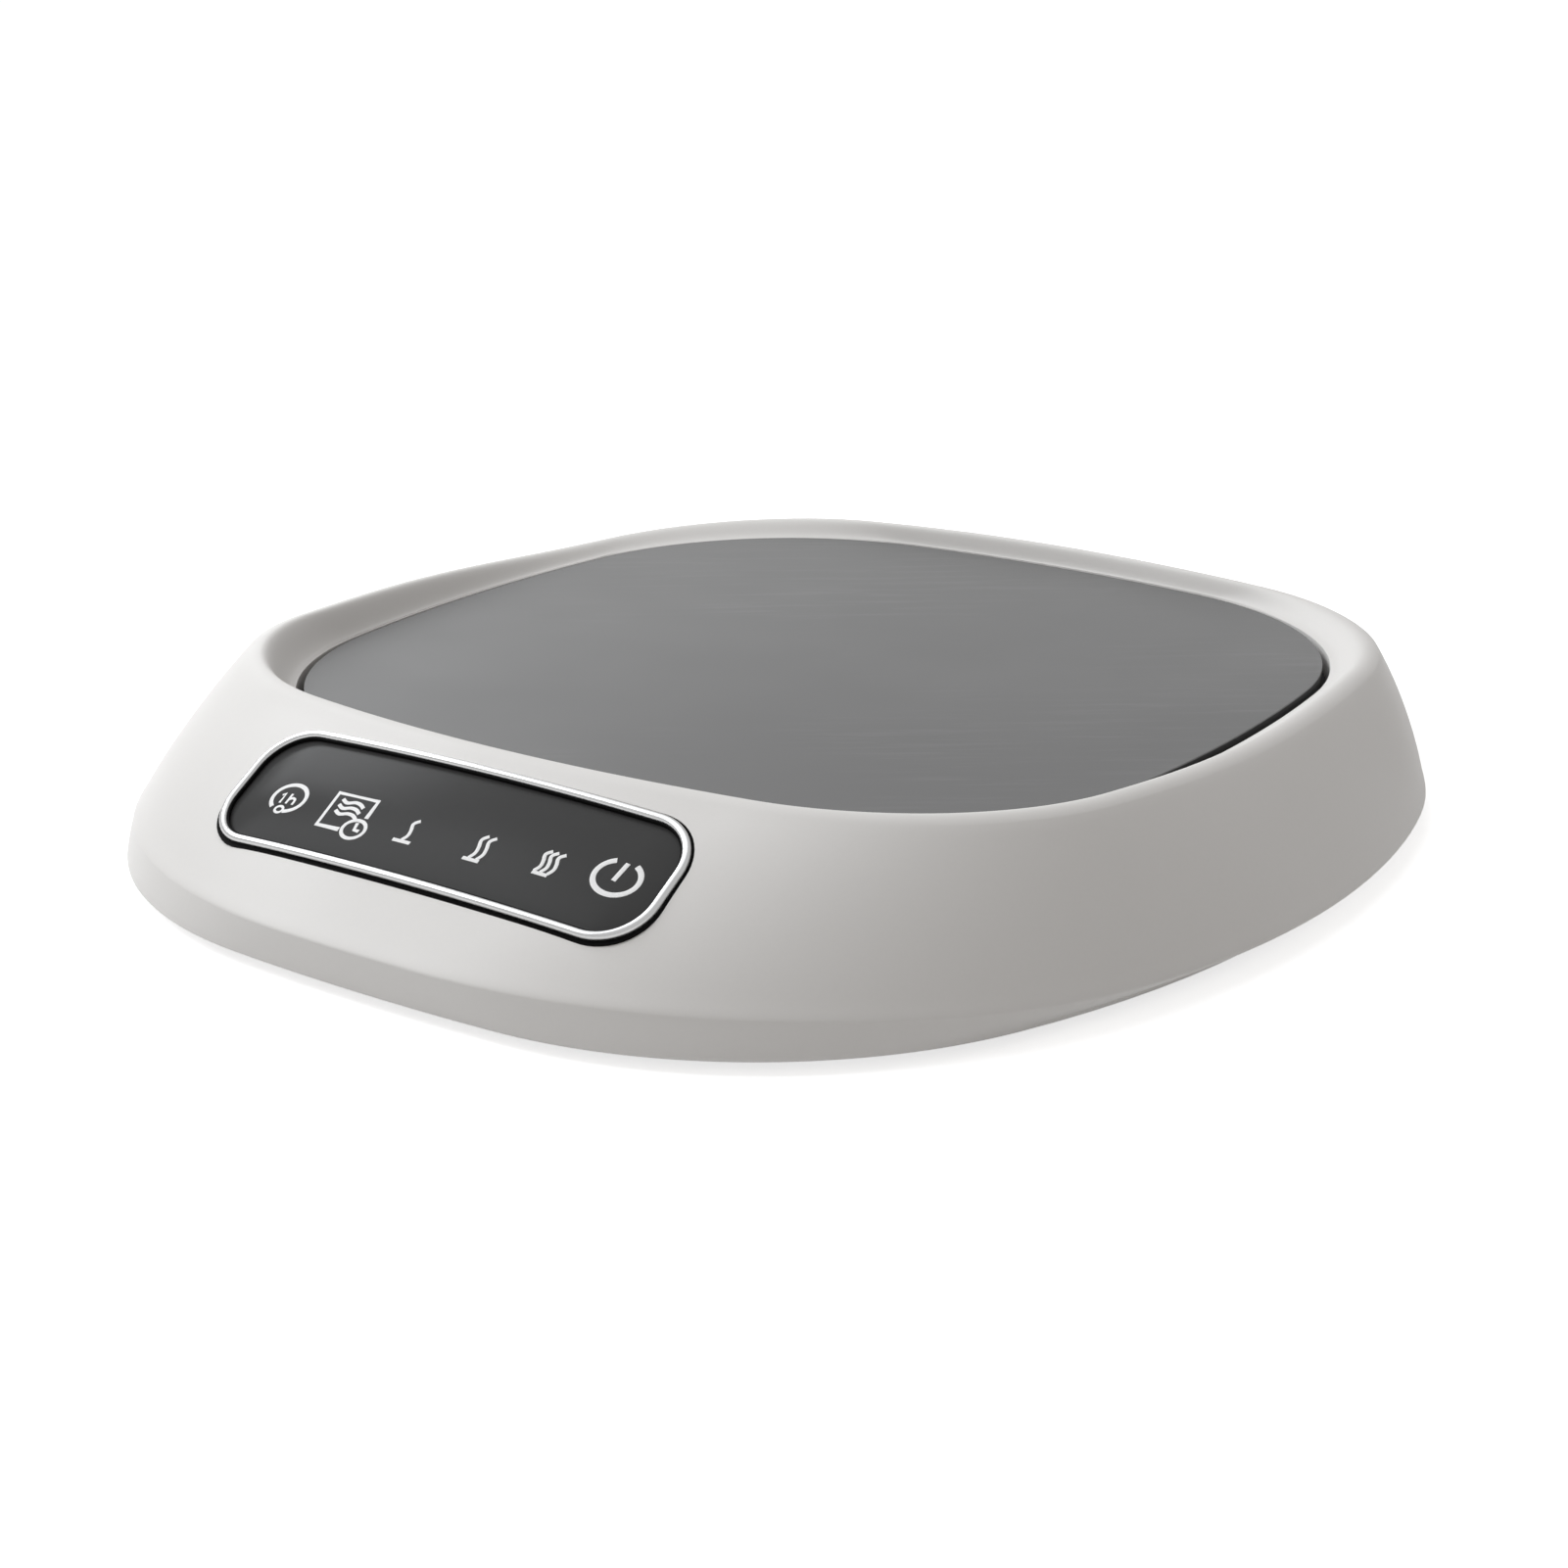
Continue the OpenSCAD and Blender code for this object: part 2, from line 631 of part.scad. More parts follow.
module panel_ribbon() {
  foot = panel_mid + [sin(panel_tilt), -cos(panel_tilt)] * (board_depth + board_t + 0.02)
    + [cos(panel_tilt), sin(panel_tilt)] * 1.5;
  top = foot + [cos(panel_tilt), sin(panel_tilt)] * 3;
  out = [sin(panel_tilt), -cos(panel_tilt)] * ribbon_t;
  z = parts_z + 1;
  y1 = -plate_s[1] - flange_w - 0.6;
  y2 = power_y - power_w / 2 + 0.6;
  color("orange") translate([9.5, 0, 0]) rotate([90, 0, 90]) linear_extrude(ribbon_w)
    polygon([
      foot, top, top + out, foot + out + [0.9, 0.4], [y1, z + 1.1], [y1 + 3, z], [y2, z],
      [y2, z - ribbon_t], [y1 + 2.8, z - ribbon_t], [y1 - 0.2, z + 0.8], foot + out * 2.2
    ]);
}

module ribbon_socket() {
  color("ivory") translate([8.5, power_y - power_w / 2 + 0.3, parts_z]) difference() {
    cube([ribbon_w + 2, 4, 2]);
    translate([0.9, -1, 0.95 - ribbon_t]) cube([ribbon_w + 0.2, 2, ribbon_t + 0.1]);
  }
}

module power_board() {
  color("darkgreen") translate([0, power_y, board_z]) difference() {
    translate([-power_l / 2, -power_w / 2, 0]) cube([power_l, power_w, board_t]);
    four(power_l / 2 - 3, power_w / 2 - 3) translate([0, 0, -1]) cylinder(d = 2, h = 4);
  }
}

module board_screws() {
  color("silver") four(power_l / 2 - 3, power_w / 2 - 3, power_y) {
    translate([0, 0, parts_z]) cylinder(d = 3.4, h = 0.9);
    translate([0, 0, base_z + 1.2]) cylinder(d = 1.7, h = parts_z - base_z - 1);
  }
}

module power_switcher() {
  color("darkslategray") translate([-18, power_y - 2, parts_z]) {
    difference() {
      cube([device_w, device_l, 1.3]);
      translate([device_w / 2, device_l - 3, -1]) cylinder(d = 3.2, h = 4);
    }
    cube([device_w, 0.6 * device_l, device_h]);
  }
}

module filter_capacitor() {
  color("lightsteelblue") translate([15, power_y + 8, parts_z]) {
    translate([-3.6, -3.6, 0]) cube([7.2, 7.2, 0.6]);
    cylinder(d = 6.6, h = 3.3);
  }
}

module fuse_clips() {
  color("goldenrod") for (i = [-1, 1])
    translate([i * 5 - 1, fuse_y, parts_z]) difference() {
      translate([0, -2, 0]) cube([2, 4, 2.6]);
      translate([-1, 0, 1.9]) rotate([0, 90, 0]) cylinder(d = 3.2, h = 4);
    }
}

module glass_fuse() {
  color("lightcyan") translate([-7, fuse_y, parts_z + 1.9]) rotate([0, 90, 0])
    cylinder(d = 3.1, h = 14);
}

module load_switch() {
  color("black") translate([0, switch_y, floor_z]) difference() {
    translate([-switch_l / 2, -switch_w / 2, 0]) cube([switch_l, switch_w, switch_h]);
    translate([0, 0, switch_h - 2.6]) cylinder(d = plunger_d + 0.2, h = 4);
  }
}

module switch_plunger() {
  top = carrier_z - plunger_gap;
  bottom = floor_z + switch_h - 2.6 + travel + 0.1;
  color("red") translate([0, switch_y, bottom])
    cylinder(d = plunger_d, h = top - bottom);
}

// One round wire along a helix, six sides, eight rings a curl
spring_gap = (carrier_z - floor_z - spring_wire - 0.1) / spring_turns - spring_wire;
echo(spring_gap = spring_gap);
module helix() {
  r = spring_wire / 2;
  m = 8 * spring_turns;
  h = carrier_z - floor_z - 2 * r - 0.1;
  pitch_angle = atan2(h / spring_turns, PI * spring_d);
  polyhedron(
    points = [for (i = [0:m], k = [0:5])
      let (
        a = 45 * i, f = 60 * k, x = spring_d / 2 + r * cos(f),
        side = -r * sin(f) * sin(pitch_angle)
      ) [
        x * cos(a) - side * sin(a), x * sin(a) + side * cos(a),
        r + 0.05 + h * i / m + r * sin(f) * cos(pitch_angle)
      ]],
    faces = [
      [for (k = [0:5]) k],
      [for (k = [5:-1:0]) m * 6 + k],
      for (i = [0:m - 1], k = [0:5])
        let (a = i * 6 + k, b = i * 6 + (k + 1) % 6) each [[a, a + 6, b], [b, a + 6, b + 6]]
    ]
  );
}

module plate_springs() {
  color("silver") four(guide_x, guide_y, plate_y) translate([0, 0, floor_z]) helix();
}

module plate_carrier() {
  color("darkgray") difference() {
    union() {
      slab(grown(plate_s, flange_w), carrier_z, carrier_t);
      difference() {
        slab(grown(plate_s, -0.6), pad_z - 0.1, plate_z - pad_z + 0.1);
        slab(grown(plate_s, -2.2), pad_z - 0.2, plate_z);
      }
      four(guide_x, guide_y, plate_y)
        translate([0, 0, carrier_z - guide_l]) cylinder(d = guide_d, h = guide_l + 0.2);
    }
    translate([0, plate_y, carrier_z - 1]) linear_extrude(carrier_t + 2)
      round_rect(2 * (guide_x - window_in), 2 * (guide_y - window_in), 5);
    four(guide_x, guide_y, plate_y)
      translate([0, 0, carrier_z - guide_l - 1])
        cylinder(d = post_d + 2 * guide_play, h = guide_l + 1.6);
    four(plate_screw_x, plate_screw_y, plate_y)
      translate([0, 0, carrier_z - 1]) cylinder(d = 2.6, h = carrier_t + 2);
  }
}

module carrier_screws() {
  color("silver") four(plate_screw_x, plate_screw_y, plate_y) {
    translate([0, 0, carrier_z - 0.9]) cylinder(d = 4.4, h = 0.9);
    translate([0, 0, carrier_z - 0.1]) cylinder(d = 2.3, h = plate_z + 1.1 - carrier_z);
  }
}

module insulation_pad() {
  color("wheat") difference() {
    slab(grown(plate_s, -2.5), pad_z, pad_t);
    four(plate_screw_x, plate_screw_y, plate_y)
      translate([0, 0, pad_z - 1]) cylinder(d = 3, h = pad_t + 2);
    translate([0, plate_y, pad_z - 1]) cylinder(d = 5, h = pad_t + 2);
    translate([0, plate_y - 18, pad_z - 1]) linear_extrude(pad_t + 2) round_rect(14, 4, 1.5);
  }
}

module heater_film() {
  y0 = plate_y - (track_n - 1) / 2 * track_pitch;
  color("peru") translate([0, 0, track_z]) linear_extrude(track_t) {
    for (i = [0:track_n - 1])
      translate([-track_l / 2, y0 + i * track_pitch - track_w / 2]) square([track_l, track_w]);
    for (i = [0:track_n - 2])
      translate([
        (i % 2 == 0 ? 1 : -1) * (track_l / 2 - track_w / 2) - track_w / 2,
        y0 + i * track_pitch
      ]) square([track_w, track_pitch]);
  }
}

module heat_spreader() {
  color("lightgray") difference() {
    slab(grown(plate_s, -2.5), spreader_z, spreader_t);
    four(plate_screw_x, plate_screw_y, plate_y)
      translate([0, 0, spreader_z - 1]) cylinder(d = 3, h = 3);
  }
}

module thermistor() {
  color("black") translate([0, plate_y, track_z - 1.6]) cylinder(d = 3.6, h = 1.6);
}

module thermal_fuse() {
  color("white") translate([-6, plate_y - 18, track_z - 1.3]) rotate([0, 90, 0])
    cylinder(d = 2.6, h = 12);
}

module plate_seal() {
  color("black") difference() {
    slab(grown(plate_s, 0.2), pad_z, plate_z - pad_z - 0.05);
    slab(grown(plate_s, -0.55), pad_z - 1, plate_z);
  }
}

module heating_plate() {
  color("gray") difference() {
    union() {
      slab(plate_s, plate_z, plate_t - plate_step);
      slab(grown(plate_s, -plate_step), plate_z + 0.1, plate_t - 0.1);
    }
    four(plate_screw_x, plate_screw_y, plate_y)
      translate([0, 0, plate_z - 1]) cylinder(d = 2.4, h = 2.2);
  }
}

top_shell();
base_cover();
feet();
base_screws();
cord_gland();
cord_terminal();
terminal_screws();
panel_bezel();
touch_panel();
panel_gasket();
light_guide();
touch_board();
indicator_lights();
touch_screws();
panel_ribbon();
ribbon_socket();
power_board();
board_screws();
power_switcher();
filter_capacitor();
glass_fuse();
fuse_clips();
lead_socket();
supply_leads();
load_switch();
switch_plunger();
plate_springs();
plate_carrier();
carrier_screws();
insulation_pad();
heater_film();
heat_spreader();
thermistor();
thermal_fuse();
plate_seal();
heating_plate();
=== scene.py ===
import math
import bmesh
import bpy
from mathutils import Matrix, Vector


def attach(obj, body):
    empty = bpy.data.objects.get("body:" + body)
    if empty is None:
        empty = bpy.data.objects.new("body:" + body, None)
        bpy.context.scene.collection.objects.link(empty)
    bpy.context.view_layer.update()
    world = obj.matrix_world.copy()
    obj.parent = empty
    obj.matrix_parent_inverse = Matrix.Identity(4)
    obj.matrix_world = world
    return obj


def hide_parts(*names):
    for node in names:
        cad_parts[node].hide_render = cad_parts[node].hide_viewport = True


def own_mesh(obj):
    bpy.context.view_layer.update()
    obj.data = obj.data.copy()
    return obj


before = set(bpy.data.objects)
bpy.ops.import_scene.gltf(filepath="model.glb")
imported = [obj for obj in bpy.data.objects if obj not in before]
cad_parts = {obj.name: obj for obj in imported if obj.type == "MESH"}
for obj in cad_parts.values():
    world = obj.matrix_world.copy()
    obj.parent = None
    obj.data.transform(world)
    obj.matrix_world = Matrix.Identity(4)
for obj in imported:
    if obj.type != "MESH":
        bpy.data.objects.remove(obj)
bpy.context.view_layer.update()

mm = 0.001


def mix(a, b, t):
    return [(1 - t) * p + t * q for p, q in zip(a, b)]


def meshObject(name, bm, smoothAngle=30):
    mesh = bpy.data.meshes.new(name)
    bm.to_mesh(mesh)
    bm.free()
    piece = bpy.data.objects.new(name, mesh)
    bpy.context.scene.collection.objects.link(piece)
    mesh.shade_smooth()
    mesh.set_sharp_from_angle(angle=math.radians(smoothAngle))
    return piece


def dress(piece, body, material, slot, *nodes):
    # gives a piece its finish and its body, and hides the CAD nodes that it stands for
    piece.data.materials.clear()
    piece.data.materials.append(material)
    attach(piece, body)
    if nodes:
        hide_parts(*nodes)
    return piece


def applyModifiers(piece, *helpers):
    graph = bpy.context.evaluated_depsgraph_get()
    solid = bpy.data.meshes.new_from_object(piece.evaluated_get(graph))
    piece.modifiers.clear()
    piece.data = solid
    for helper in helpers:
        bpy.data.objects.remove(helper)


shape = {
    "bodyWidth": 130.5, "bodyDepth": 140.75, "sideRadius": 106, "endRadius": 260,
    "cornerRadius": 56.5, "baseCornerRadius": 45, "tuck": 2.2, "tuckFront": 0.5,
    "edgeHeight": 1.2, "bellyHeight": 1.45, "bellyLift": 1.3, "shoulder": 0.25, "swell": 0.3,
    "wall": 1.8, "frontExtra": 2.8, "edgeWidth": 2, "rimFront": 3.95, "rimBack": 1.2,
    "rimSideWidth": 2.75, "rimFrontWidth": 1.25, "rimBackWidth": 1.4, "rimCornerRadius": 29,
    "rimRound": 1.8, "lip": 1.6, "lipZ": 11.3, "plateWidth": 100, "plateDepth": 102.1,
    "plateY": 4.925, "plateTop": 15, "plateThick": 2, "plateSideRadius": 168,
    "plateEndRadius": 160, "plateCornerRadius": 32.5, "plateGap": 0.6,
    "leftWave": {"dip": 0.95, "at": -0.42, "reach": 0.42, "back": 0.95, "front": 0.25,
                 "frontAt": 0.66, "frontReach": 0.16},
    "rightWave": {"bend": 1.125, "sag": 0.775, "dip": 0.6, "at": 0.05, "reach": 0.42},
    "sideBlend": 0.6, "skinTilt": 0.6, "crestDrop": 0.38, "footShare": 0.07,
}


def grown(s, d, dz=0):
    return [v + d for v in s[:6]] + [s[6] + dz, s[7], s[8]]


def atHeight(s, z):
    return s[:6] + [z, s[7], s[8]]


def bent(a, b, c, t):
    return mix(mix(a, b, t), mix(b, c, t), t)


# half width, front reach, back reach, side, end and corner radius, height, share of the rim's
# fall, rise towards the front
bellyZ = shape["edgeHeight"] + shape["bellyHeight"]
halfW, halfD = shape["bodyWidth"] / 2, shape["bodyDepth"] / 2
baseLine = [halfW - shape["tuck"], halfD - shape["tuckFront"], halfD - shape["tuck"],
            shape["sideRadius"], shape["endRadius"], shape["baseCornerRadius"],
            shape["edgeHeight"], 0, 0]
bellyLine = [halfW, halfD, halfD, shape["sideRadius"], shape["endRadius"],
             shape["cornerRadius"], bellyZ, 0, shape["bellyLift"]]
plateLine = [shape["plateWidth"] / 2, shape["plateDepth"] / 2 - shape["plateY"],
             shape["plateDepth"] / 2 + shape["plateY"], shape["plateSideRadius"],
             shape["plateEndRadius"], shape["plateCornerRadius"], shape["plateTop"], 0, 0]
openLine = grown(plateLine, shape["plateGap"], -0.2)
rimLine = [openLine[0] + shape["rimSideWidth"], openLine[1] + shape["rimFrontWidth"],
           openLine[2] + shape["rimBackWidth"], plateLine[3] + shape["rimSideWidth"],
           plateLine[4] + shape["rimSideWidth"], shape["rimCornerRadius"],
           shape["plateTop"] + (shape["rimFront"] + shape["rimBack"]) / 2, 1, 0]
rimFall = (shape["rimFront"] - shape["rimBack"]) / 2
rimReach = (rimLine[1] + rimLine[2]) / 2
shoulderLine = atHeight(bellyLine, bellyZ + shape["shoulder"])
slopeTop = grown(rimLine, shape["rimRound"], -shape["crestDrop"] * shape["rimRound"])
slopeFoot = mix(shoulderLine, slopeTop, shape["footShare"])


def slope(t):
    bulge = 4 * shape["swell"] * t * (1 - t)
    return grown(mix(slopeFoot, slopeTop, t), bulge, shape["skinTilt"] * bulge)


def slopeInside(t):
    s = grown(slope(t), -shape["wall"], -shape["skinTilt"] * shape["wall"])
    s[1] -= shape["frontExtra"] * (1 - t ** 3)
    return s


def cove(t):
    s = mix(rimLine, openLine, t)
    g = (1 + math.cos(math.pi * t)) / 2
    return s[:6] + [openLine[6] + (rimLine[6] - openLine[6]) * g, g, 0]


def bell(k, middle, reach):
    return math.exp(-((k - middle) / reach) ** 2)


def raised(s, x, y):
    # height of a section at a place; the rim dips behind the middle of its left side and, more
    # so, at the middle of its right side, and lifts again at the back
    k = (shape["plateY"] - y) / rimReach
    left, right = shape["leftWave"], shape["rightWave"]
    onLeft = (left["back"] * max(0, -k) ** 8 - left["dip"] * bell(k, left["at"], left["reach"])
              + left["front"] * bell(k, left["frontAt"], left["frontReach"]))
    onRight = ((k - 1) * (right["bend"] * k + right["sag"])
               - right["dip"] * bell(k, right["at"], right["reach"]))
    t = min(1, max(0, 0.5 + shape["sideBlend"] * x / halfW))
    wave = onLeft + (onRight - onLeft) * t * t * (3 - 2 * t)
    return s[6] + s[7] * (rimFall * k + wave) + s[8] * max(0, k) ** 2


def cornerMid(a, b, sideR, endR, r):
    # middle of the corner arc that touches the side curve and the end curve
    p, q = Vector((a - sideR, 0)), Vector((0, b - endR))
    u = (q - p).normalized()
    d1, d2, gap = sideR - r, endR - r, (q - p).length
    t = (d1 * d1 - d2 * d2 + gap * gap) / (2 * gap)
    return p + t * u + math.sqrt(d1 * d1 - t * t) * Vector((-u.y, u.x))


def quarterPoints(a, b, sideR, endR, r, counts):
    c = cornerMid(a, b, sideR, endR, r)
    f1 = math.atan2(c.y, c.x - a + sideR)
    f2 = math.atan2(c.y - b + endR, c.x)
    side, corner, end = counts
    points = []
    for i in range(side):
        f = f1 * i / side
        points.append((a - sideR + sideR * math.cos(f), sideR * math.sin(f)))
    for i in range(corner + 1):
        f = f1 + (f2 - f1) * i / corner
        points.append((c.x + r * math.cos(f), c.y + r * math.sin(f)))
    for i in range(1, end + 1):
        f = f2 + (math.pi / 2 - f2) * i / end
        points.append((endR * math.cos(f), b - endR + endR * math.sin(f)))
    return points


def ringPoints(s, counts):
    # a whole section, anticlockwise from the middle of the right side, in metres
    b, m = (s[1] + s[2]) / 2, (s[2] - s[1]) / 2
    q = quarterPoints(s[0], b, s[3], s[4], s[5], counts)
    n = len(q) - 1
    flat = (q[:n] + [(-x, y) for x, y in q[n:0:-1]] + [(-x, -y) for x, y in q[:n]]
            + [(x, -y) for x, y in q[n:0:-1]])
    return [Vector((x, y + m, raised(s, x, y + m))) * mm for x, y in flat]


def lofted(sections, counts, closed):
    # a grid wrapped round the sections; closed joins the last section to the first
    rings = [ringPoints(s, counts) for s in sections]
    if closed:
        rings.append(rings[0])
    around, up = len(rings[0]), len(rings)
    bm = bmesh.new()
    bmesh.ops.create_grid(bm, x_segments=around, y_segments=up - 1, size=1)
    for v in bm.verts:
        i = round((v.co.x + 1) / 2 * around) % around
        j = round((v.co.y + 1) / 2 * (up - 1))
        v.co = rings[j][i]
    bmesh.ops.remove_doubles(bm, verts=bm.verts, dist=1e-7)
    bmesh.ops.recalc_face_normals(bm, faces=bm.faces)
    return bm


panel = {
    "at": 0.63, "lengthShare": 0.412, "riseShare": 0.67, "cornerR": 5.6, "curveR": 300,
    "barWidth": 0.9, "barHeight": 0.5, "barRound": 0.42, "windowSink": 0.26,
    "windowThick": 0.8, "pocketDepth": 1.5, "pocketGap": 0.34, "pocketShift": -0.12, "rimDrop": 0.15,
    "innerShadowWidth": 0.14, "innerShadowTop": 0.1, "windowPlay": 0.05, "windowEdge": 0.12,
}


def frontPoint(t):
    s = slope(t)
    return Vector((-s[1], raised(s, 0, -s[1])))


panelMid = frontPoint(panel["at"])
panelRun = frontPoint(panel["at"] + 0.2) - frontPoint(panel["at"] - 0.2)
panelTilt = math.atan2(panelRun.y, panelRun.x)
panelLength = panel["lengthShare"] * shape["bodyWidth"]
panelWidth = panel["riseShare"] * (frontPoint(1) - frontPoint(0)).length
panelFrame = (Matrix.Translation(Vector((0, panelMid.x, panelMid.y)) * mm)
              @ Matrix.Rotation(panelTilt, 4, "X") @ Matrix.Scale(mm, 4))


def curveDrop(x):
    return panel["curveR"] - math.sqrt(panel["curveR"] ** 2 - x * x)


def roundedPlate(length, width, radius, top, bottom, steps=26):
    # flat rounded plate in the panel's frame, cut across so that it can follow the curve
    bm = bmesh.new()
    bmesh.ops.create_grid(bm, x_segments=1, y_segments=1, size=0.5)
    bmesh.ops.scale(bm, vec=(length, width, 1), verts=bm.verts)
    bmesh.ops.bevel(bm, geom=bm.verts[:], offset=radius, affect="VERTICES", segments=14,
                    profile=0.5, material=-1)
    bmesh.ops.translate(bm, vec=(0, 0, bottom), verts=bm.verts)
    lifted = bmesh.ops.extrude_face_region(bm, geom=bm.faces[:])
    bmesh.ops.translate(bm, vec=(0, 0, top - bottom),
                        verts=[g for g in lifted["geom"] if isinstance(g, bmesh.types.BMVert)])
    for i in range(1, steps):
        x = length * (i / steps - 0.5)
        bmesh.ops.bisect_plane(bm, geom=bm.verts[:] + bm.edges[:] + bm.faces[:],
                               plane_co=(x, 0, 0), plane_no=(1, 0, 0))
    bmesh.ops.recalc_face_normals(bm, faces=bm.faces)
    return bm


def rimEdges(bm, z, tolerance=1e-4):
    # edges between the level face at height z and a wall
    return [e for e in bm.edges if all(abs(v.co.z - z) < tolerance for v in e.verts)
            and len(e.link_faces) == 2
            and abs(abs(e.link_faces[0].normal.z) - abs(e.link_faces[1].normal.z)) > 0.5]


def layOnSlope(bm):
    for v in bm.verts:
        v.co.z -= curveDrop(v.co.x)
    bmesh.ops.transform(bm, matrix=panelFrame, verts=bm.verts)


def newGroup(name, inputs, outputs):
    group = bpy.data.node_groups.new(name, "ShaderNodeTree")
    for label, kind, value in inputs:
        socket = group.interface.new_socket(label, in_out="INPUT", socket_type=kind)
        if value is not None:
            socket.default_value = value
    for label, kind in outputs:
        group.interface.new_socket(label, in_out="OUTPUT", socket_type=kind)
    return group, group.nodes.new("NodeGroupInput"), group.nodes.new("NodeGroupOutput")


def node(tree, kind, **values):
    made = tree.nodes.new(kind)
    for key, value in values.items():
        setattr(made, key, value)
    return made


def noise(tree, vector, scale, detail=3, roughness=0.5):
    made = tree.nodes.new("ShaderNodeTexNoise")
    made.inputs["Detail"].default_value = detail
    made.inputs["Roughness"].default_value = roughness
    if hasattr(scale, "links"):
        tree.links.new(scale, made.inputs["Scale"])
    else:
        made.inputs["Scale"].default_value = scale
    tree.links.new(vector, made.inputs["Vector"])
    return made.outputs["Fac"]


def ranged(tree, value, low, high, toLow, toHigh):
    made = tree.nodes.new("ShaderNodeMapRange")
    tree.links.new(value, made.inputs["Value"])
    for key, v in (("From Min", low), ("From Max", high), ("To Min", toLow), ("To Max", toHigh)):
        if hasattr(v, "links"):
            tree.links.new(v, made.inputs[key])
        else:
            made.inputs[key].default_value = v
    return made.outputs["Result"]


def math2(tree, operation, a, b):
    made = node(tree, "ShaderNodeMath", operation=operation)
    for socket, v in zip(made.inputs, (a, b)):
        if hasattr(v, "links"):
            tree.links.new(v, socket)
        else:
            socket.default_value = v
    return made.outputs[0]


def grainGroup():
    # fine even grain with slow drifts in tone and gloss, as on a moulded or coated face
    group, gin, gout = newGroup(
        "fineGrain",
        [("Vector", "NodeSocketVector", None), ("Color", "NodeSocketColor", (0.8, 0.8, 0.8, 1)),
         ("Scale", "NodeSocketFloat", 1500.0), ("Tone", "NodeSocketFloat", 0.04),
         ("Roughness", "NodeSocketFloat", 0.5), ("Spread", "NodeSocketFloat", 0.06)],
        [("Color", "NodeSocketColor"), ("Roughness", "NodeSocketFloat"),
         ("Height", "NodeSocketFloat")])
    fine = noise(group, gin.outputs["Vector"], gin.outputs["Scale"], 4, 0.6)
    slow = noise(group, gin.outputs["Vector"], 38.0, 2)
    toneUp = math2(group, "ADD", 1.0, gin.outputs["Tone"])
    toneDown = math2(group, "SUBTRACT", 1.0, gin.outputs["Tone"])
    shade = math2(group, "ADD", math2(group, "MULTIPLY", fine, 0.5),
                  math2(group, "MULTIPLY", slow, 0.5))
    tone = ranged(group, shade, 0.3, 0.7, toneDown, toneUp)
    tinted = node(group, "ShaderNodeVectorMath", operation="SCALE")
    group.links.new(gin.outputs["Color"], tinted.inputs[0])
    group.links.new(tone, tinted.inputs["Scale"])
    group.links.new(tinted.outputs[0], gout.inputs["Color"])
    low = math2(group, "SUBTRACT", gin.outputs["Roughness"], gin.outputs["Spread"])
    high = math2(group, "ADD", gin.outputs["Roughness"], gin.outputs["Spread"])
    group.links.new(ranged(group, slow, 0.35, 0.65, low, high), gout.inputs["Roughness"])
    group.links.new(fine, gout.inputs["Height"])
    return group


def sheenStreakGroup():
    # mask for the plate's painted sheen: faint long streaks in patches
    group, gin, gout = newGroup(
        "paintedSheenStreaks",
        [("Vector", "NodeSocketVector", None), ("Stretch", "NodeSocketFloat", 12.0),
         ("Scale", "NodeSocketFloat", 60.0)],
        [("Mask", "NodeSocketFloat")])
    scaled = node(group, "ShaderNodeVectorMath", operation="MULTIPLY")
    group.links.new(gin.outputs["Vector"], scaled.inputs[0])
    across = node(group, "ShaderNodeCombineXYZ")
    across.inputs["X"].default_value = 1.0
    across.inputs["Z"].default_value = 1.0
    group.links.new(gin.outputs["Stretch"], across.inputs["Y"])
    group.links.new(across.outputs[0], scaled.inputs[1])
    sheenLines = noise(group, scaled.outputs[0], gin.outputs["Scale"], 5, 0.65)
    patch = noise(group, gin.outputs["Vector"], 26.0, 2)
    mask = math2(group, "MULTIPLY", ranged(group, sheenLines, 0.5, 0.72, 0, 1),
                 ranged(group, patch, 0.48, 0.66, 0, 1))
    group.links.new(mask, gout.inputs["Mask"])
    return group


fineGrain = grainGroup()
paintedSheenStreaks = sheenStreakGroup()
print("shader groups made")


def finish(name, color, roughness, grain=1500.0, tone=0.04, spread=0.06, bump=0.08,
           depth=0.00002, metallic=0.0, coat=0.0, specular=0.5):
    material = bpy.data.materials.new(name)
    material.use_nodes = True
    tree = material.node_tree
    shader = tree.nodes["Principled BSDF"]
    shader.inputs["Metallic"].default_value = metallic
    shader.inputs["Coat Weight"].default_value = coat
    shader.inputs["Coat Roughness"].default_value = 0.1
    shader.inputs["Specular IOR Level"].default_value = specular
    place = tree.nodes.new("ShaderNodeTexCoord")
    group = node(tree, "ShaderNodeGroup", node_tree=fineGrain)
    tree.links.new(place.outputs["Object"], group.inputs["Vector"])
    group.inputs["Color"].default_value = (*color, 1)
    for key, value in (("Scale", grain), ("Tone", tone), ("Roughness", roughness),
                       ("Spread", spread)):
        group.inputs[key].default_value = value
    tree.links.new(group.outputs["Color"], shader.inputs["Base Color"])
    tree.links.new(group.outputs["Roughness"], shader.inputs["Roughness"])
    bumped = tree.nodes.new("ShaderNodeBump")
    bumped.inputs["Strength"].default_value = bump
    bumped.inputs["Distance"].default_value = depth
    tree.links.new(group.outputs["Height"], bumped.inputs["Height"])
    tree.links.new(bumped.outputs["Normal"], shader.inputs["Normal"])
    return material


housingLook = {
    "counts": (10, 34, 10), "sharpAngle": 40, "lipDrop": 1.4,
    "plastic": dict(color=(0.80, 0.785, 0.765), roughness=0.5, grain=2600.0, tone=0.012,
                    spread=0.05, bump=0.10, depth=0.00003),
}
inletHole = {"radius": 3, "length": 24, "place": (0, 71.5, 6.4)}
housingPlastic = finish("housingPlastic", **housingLook["plastic"])


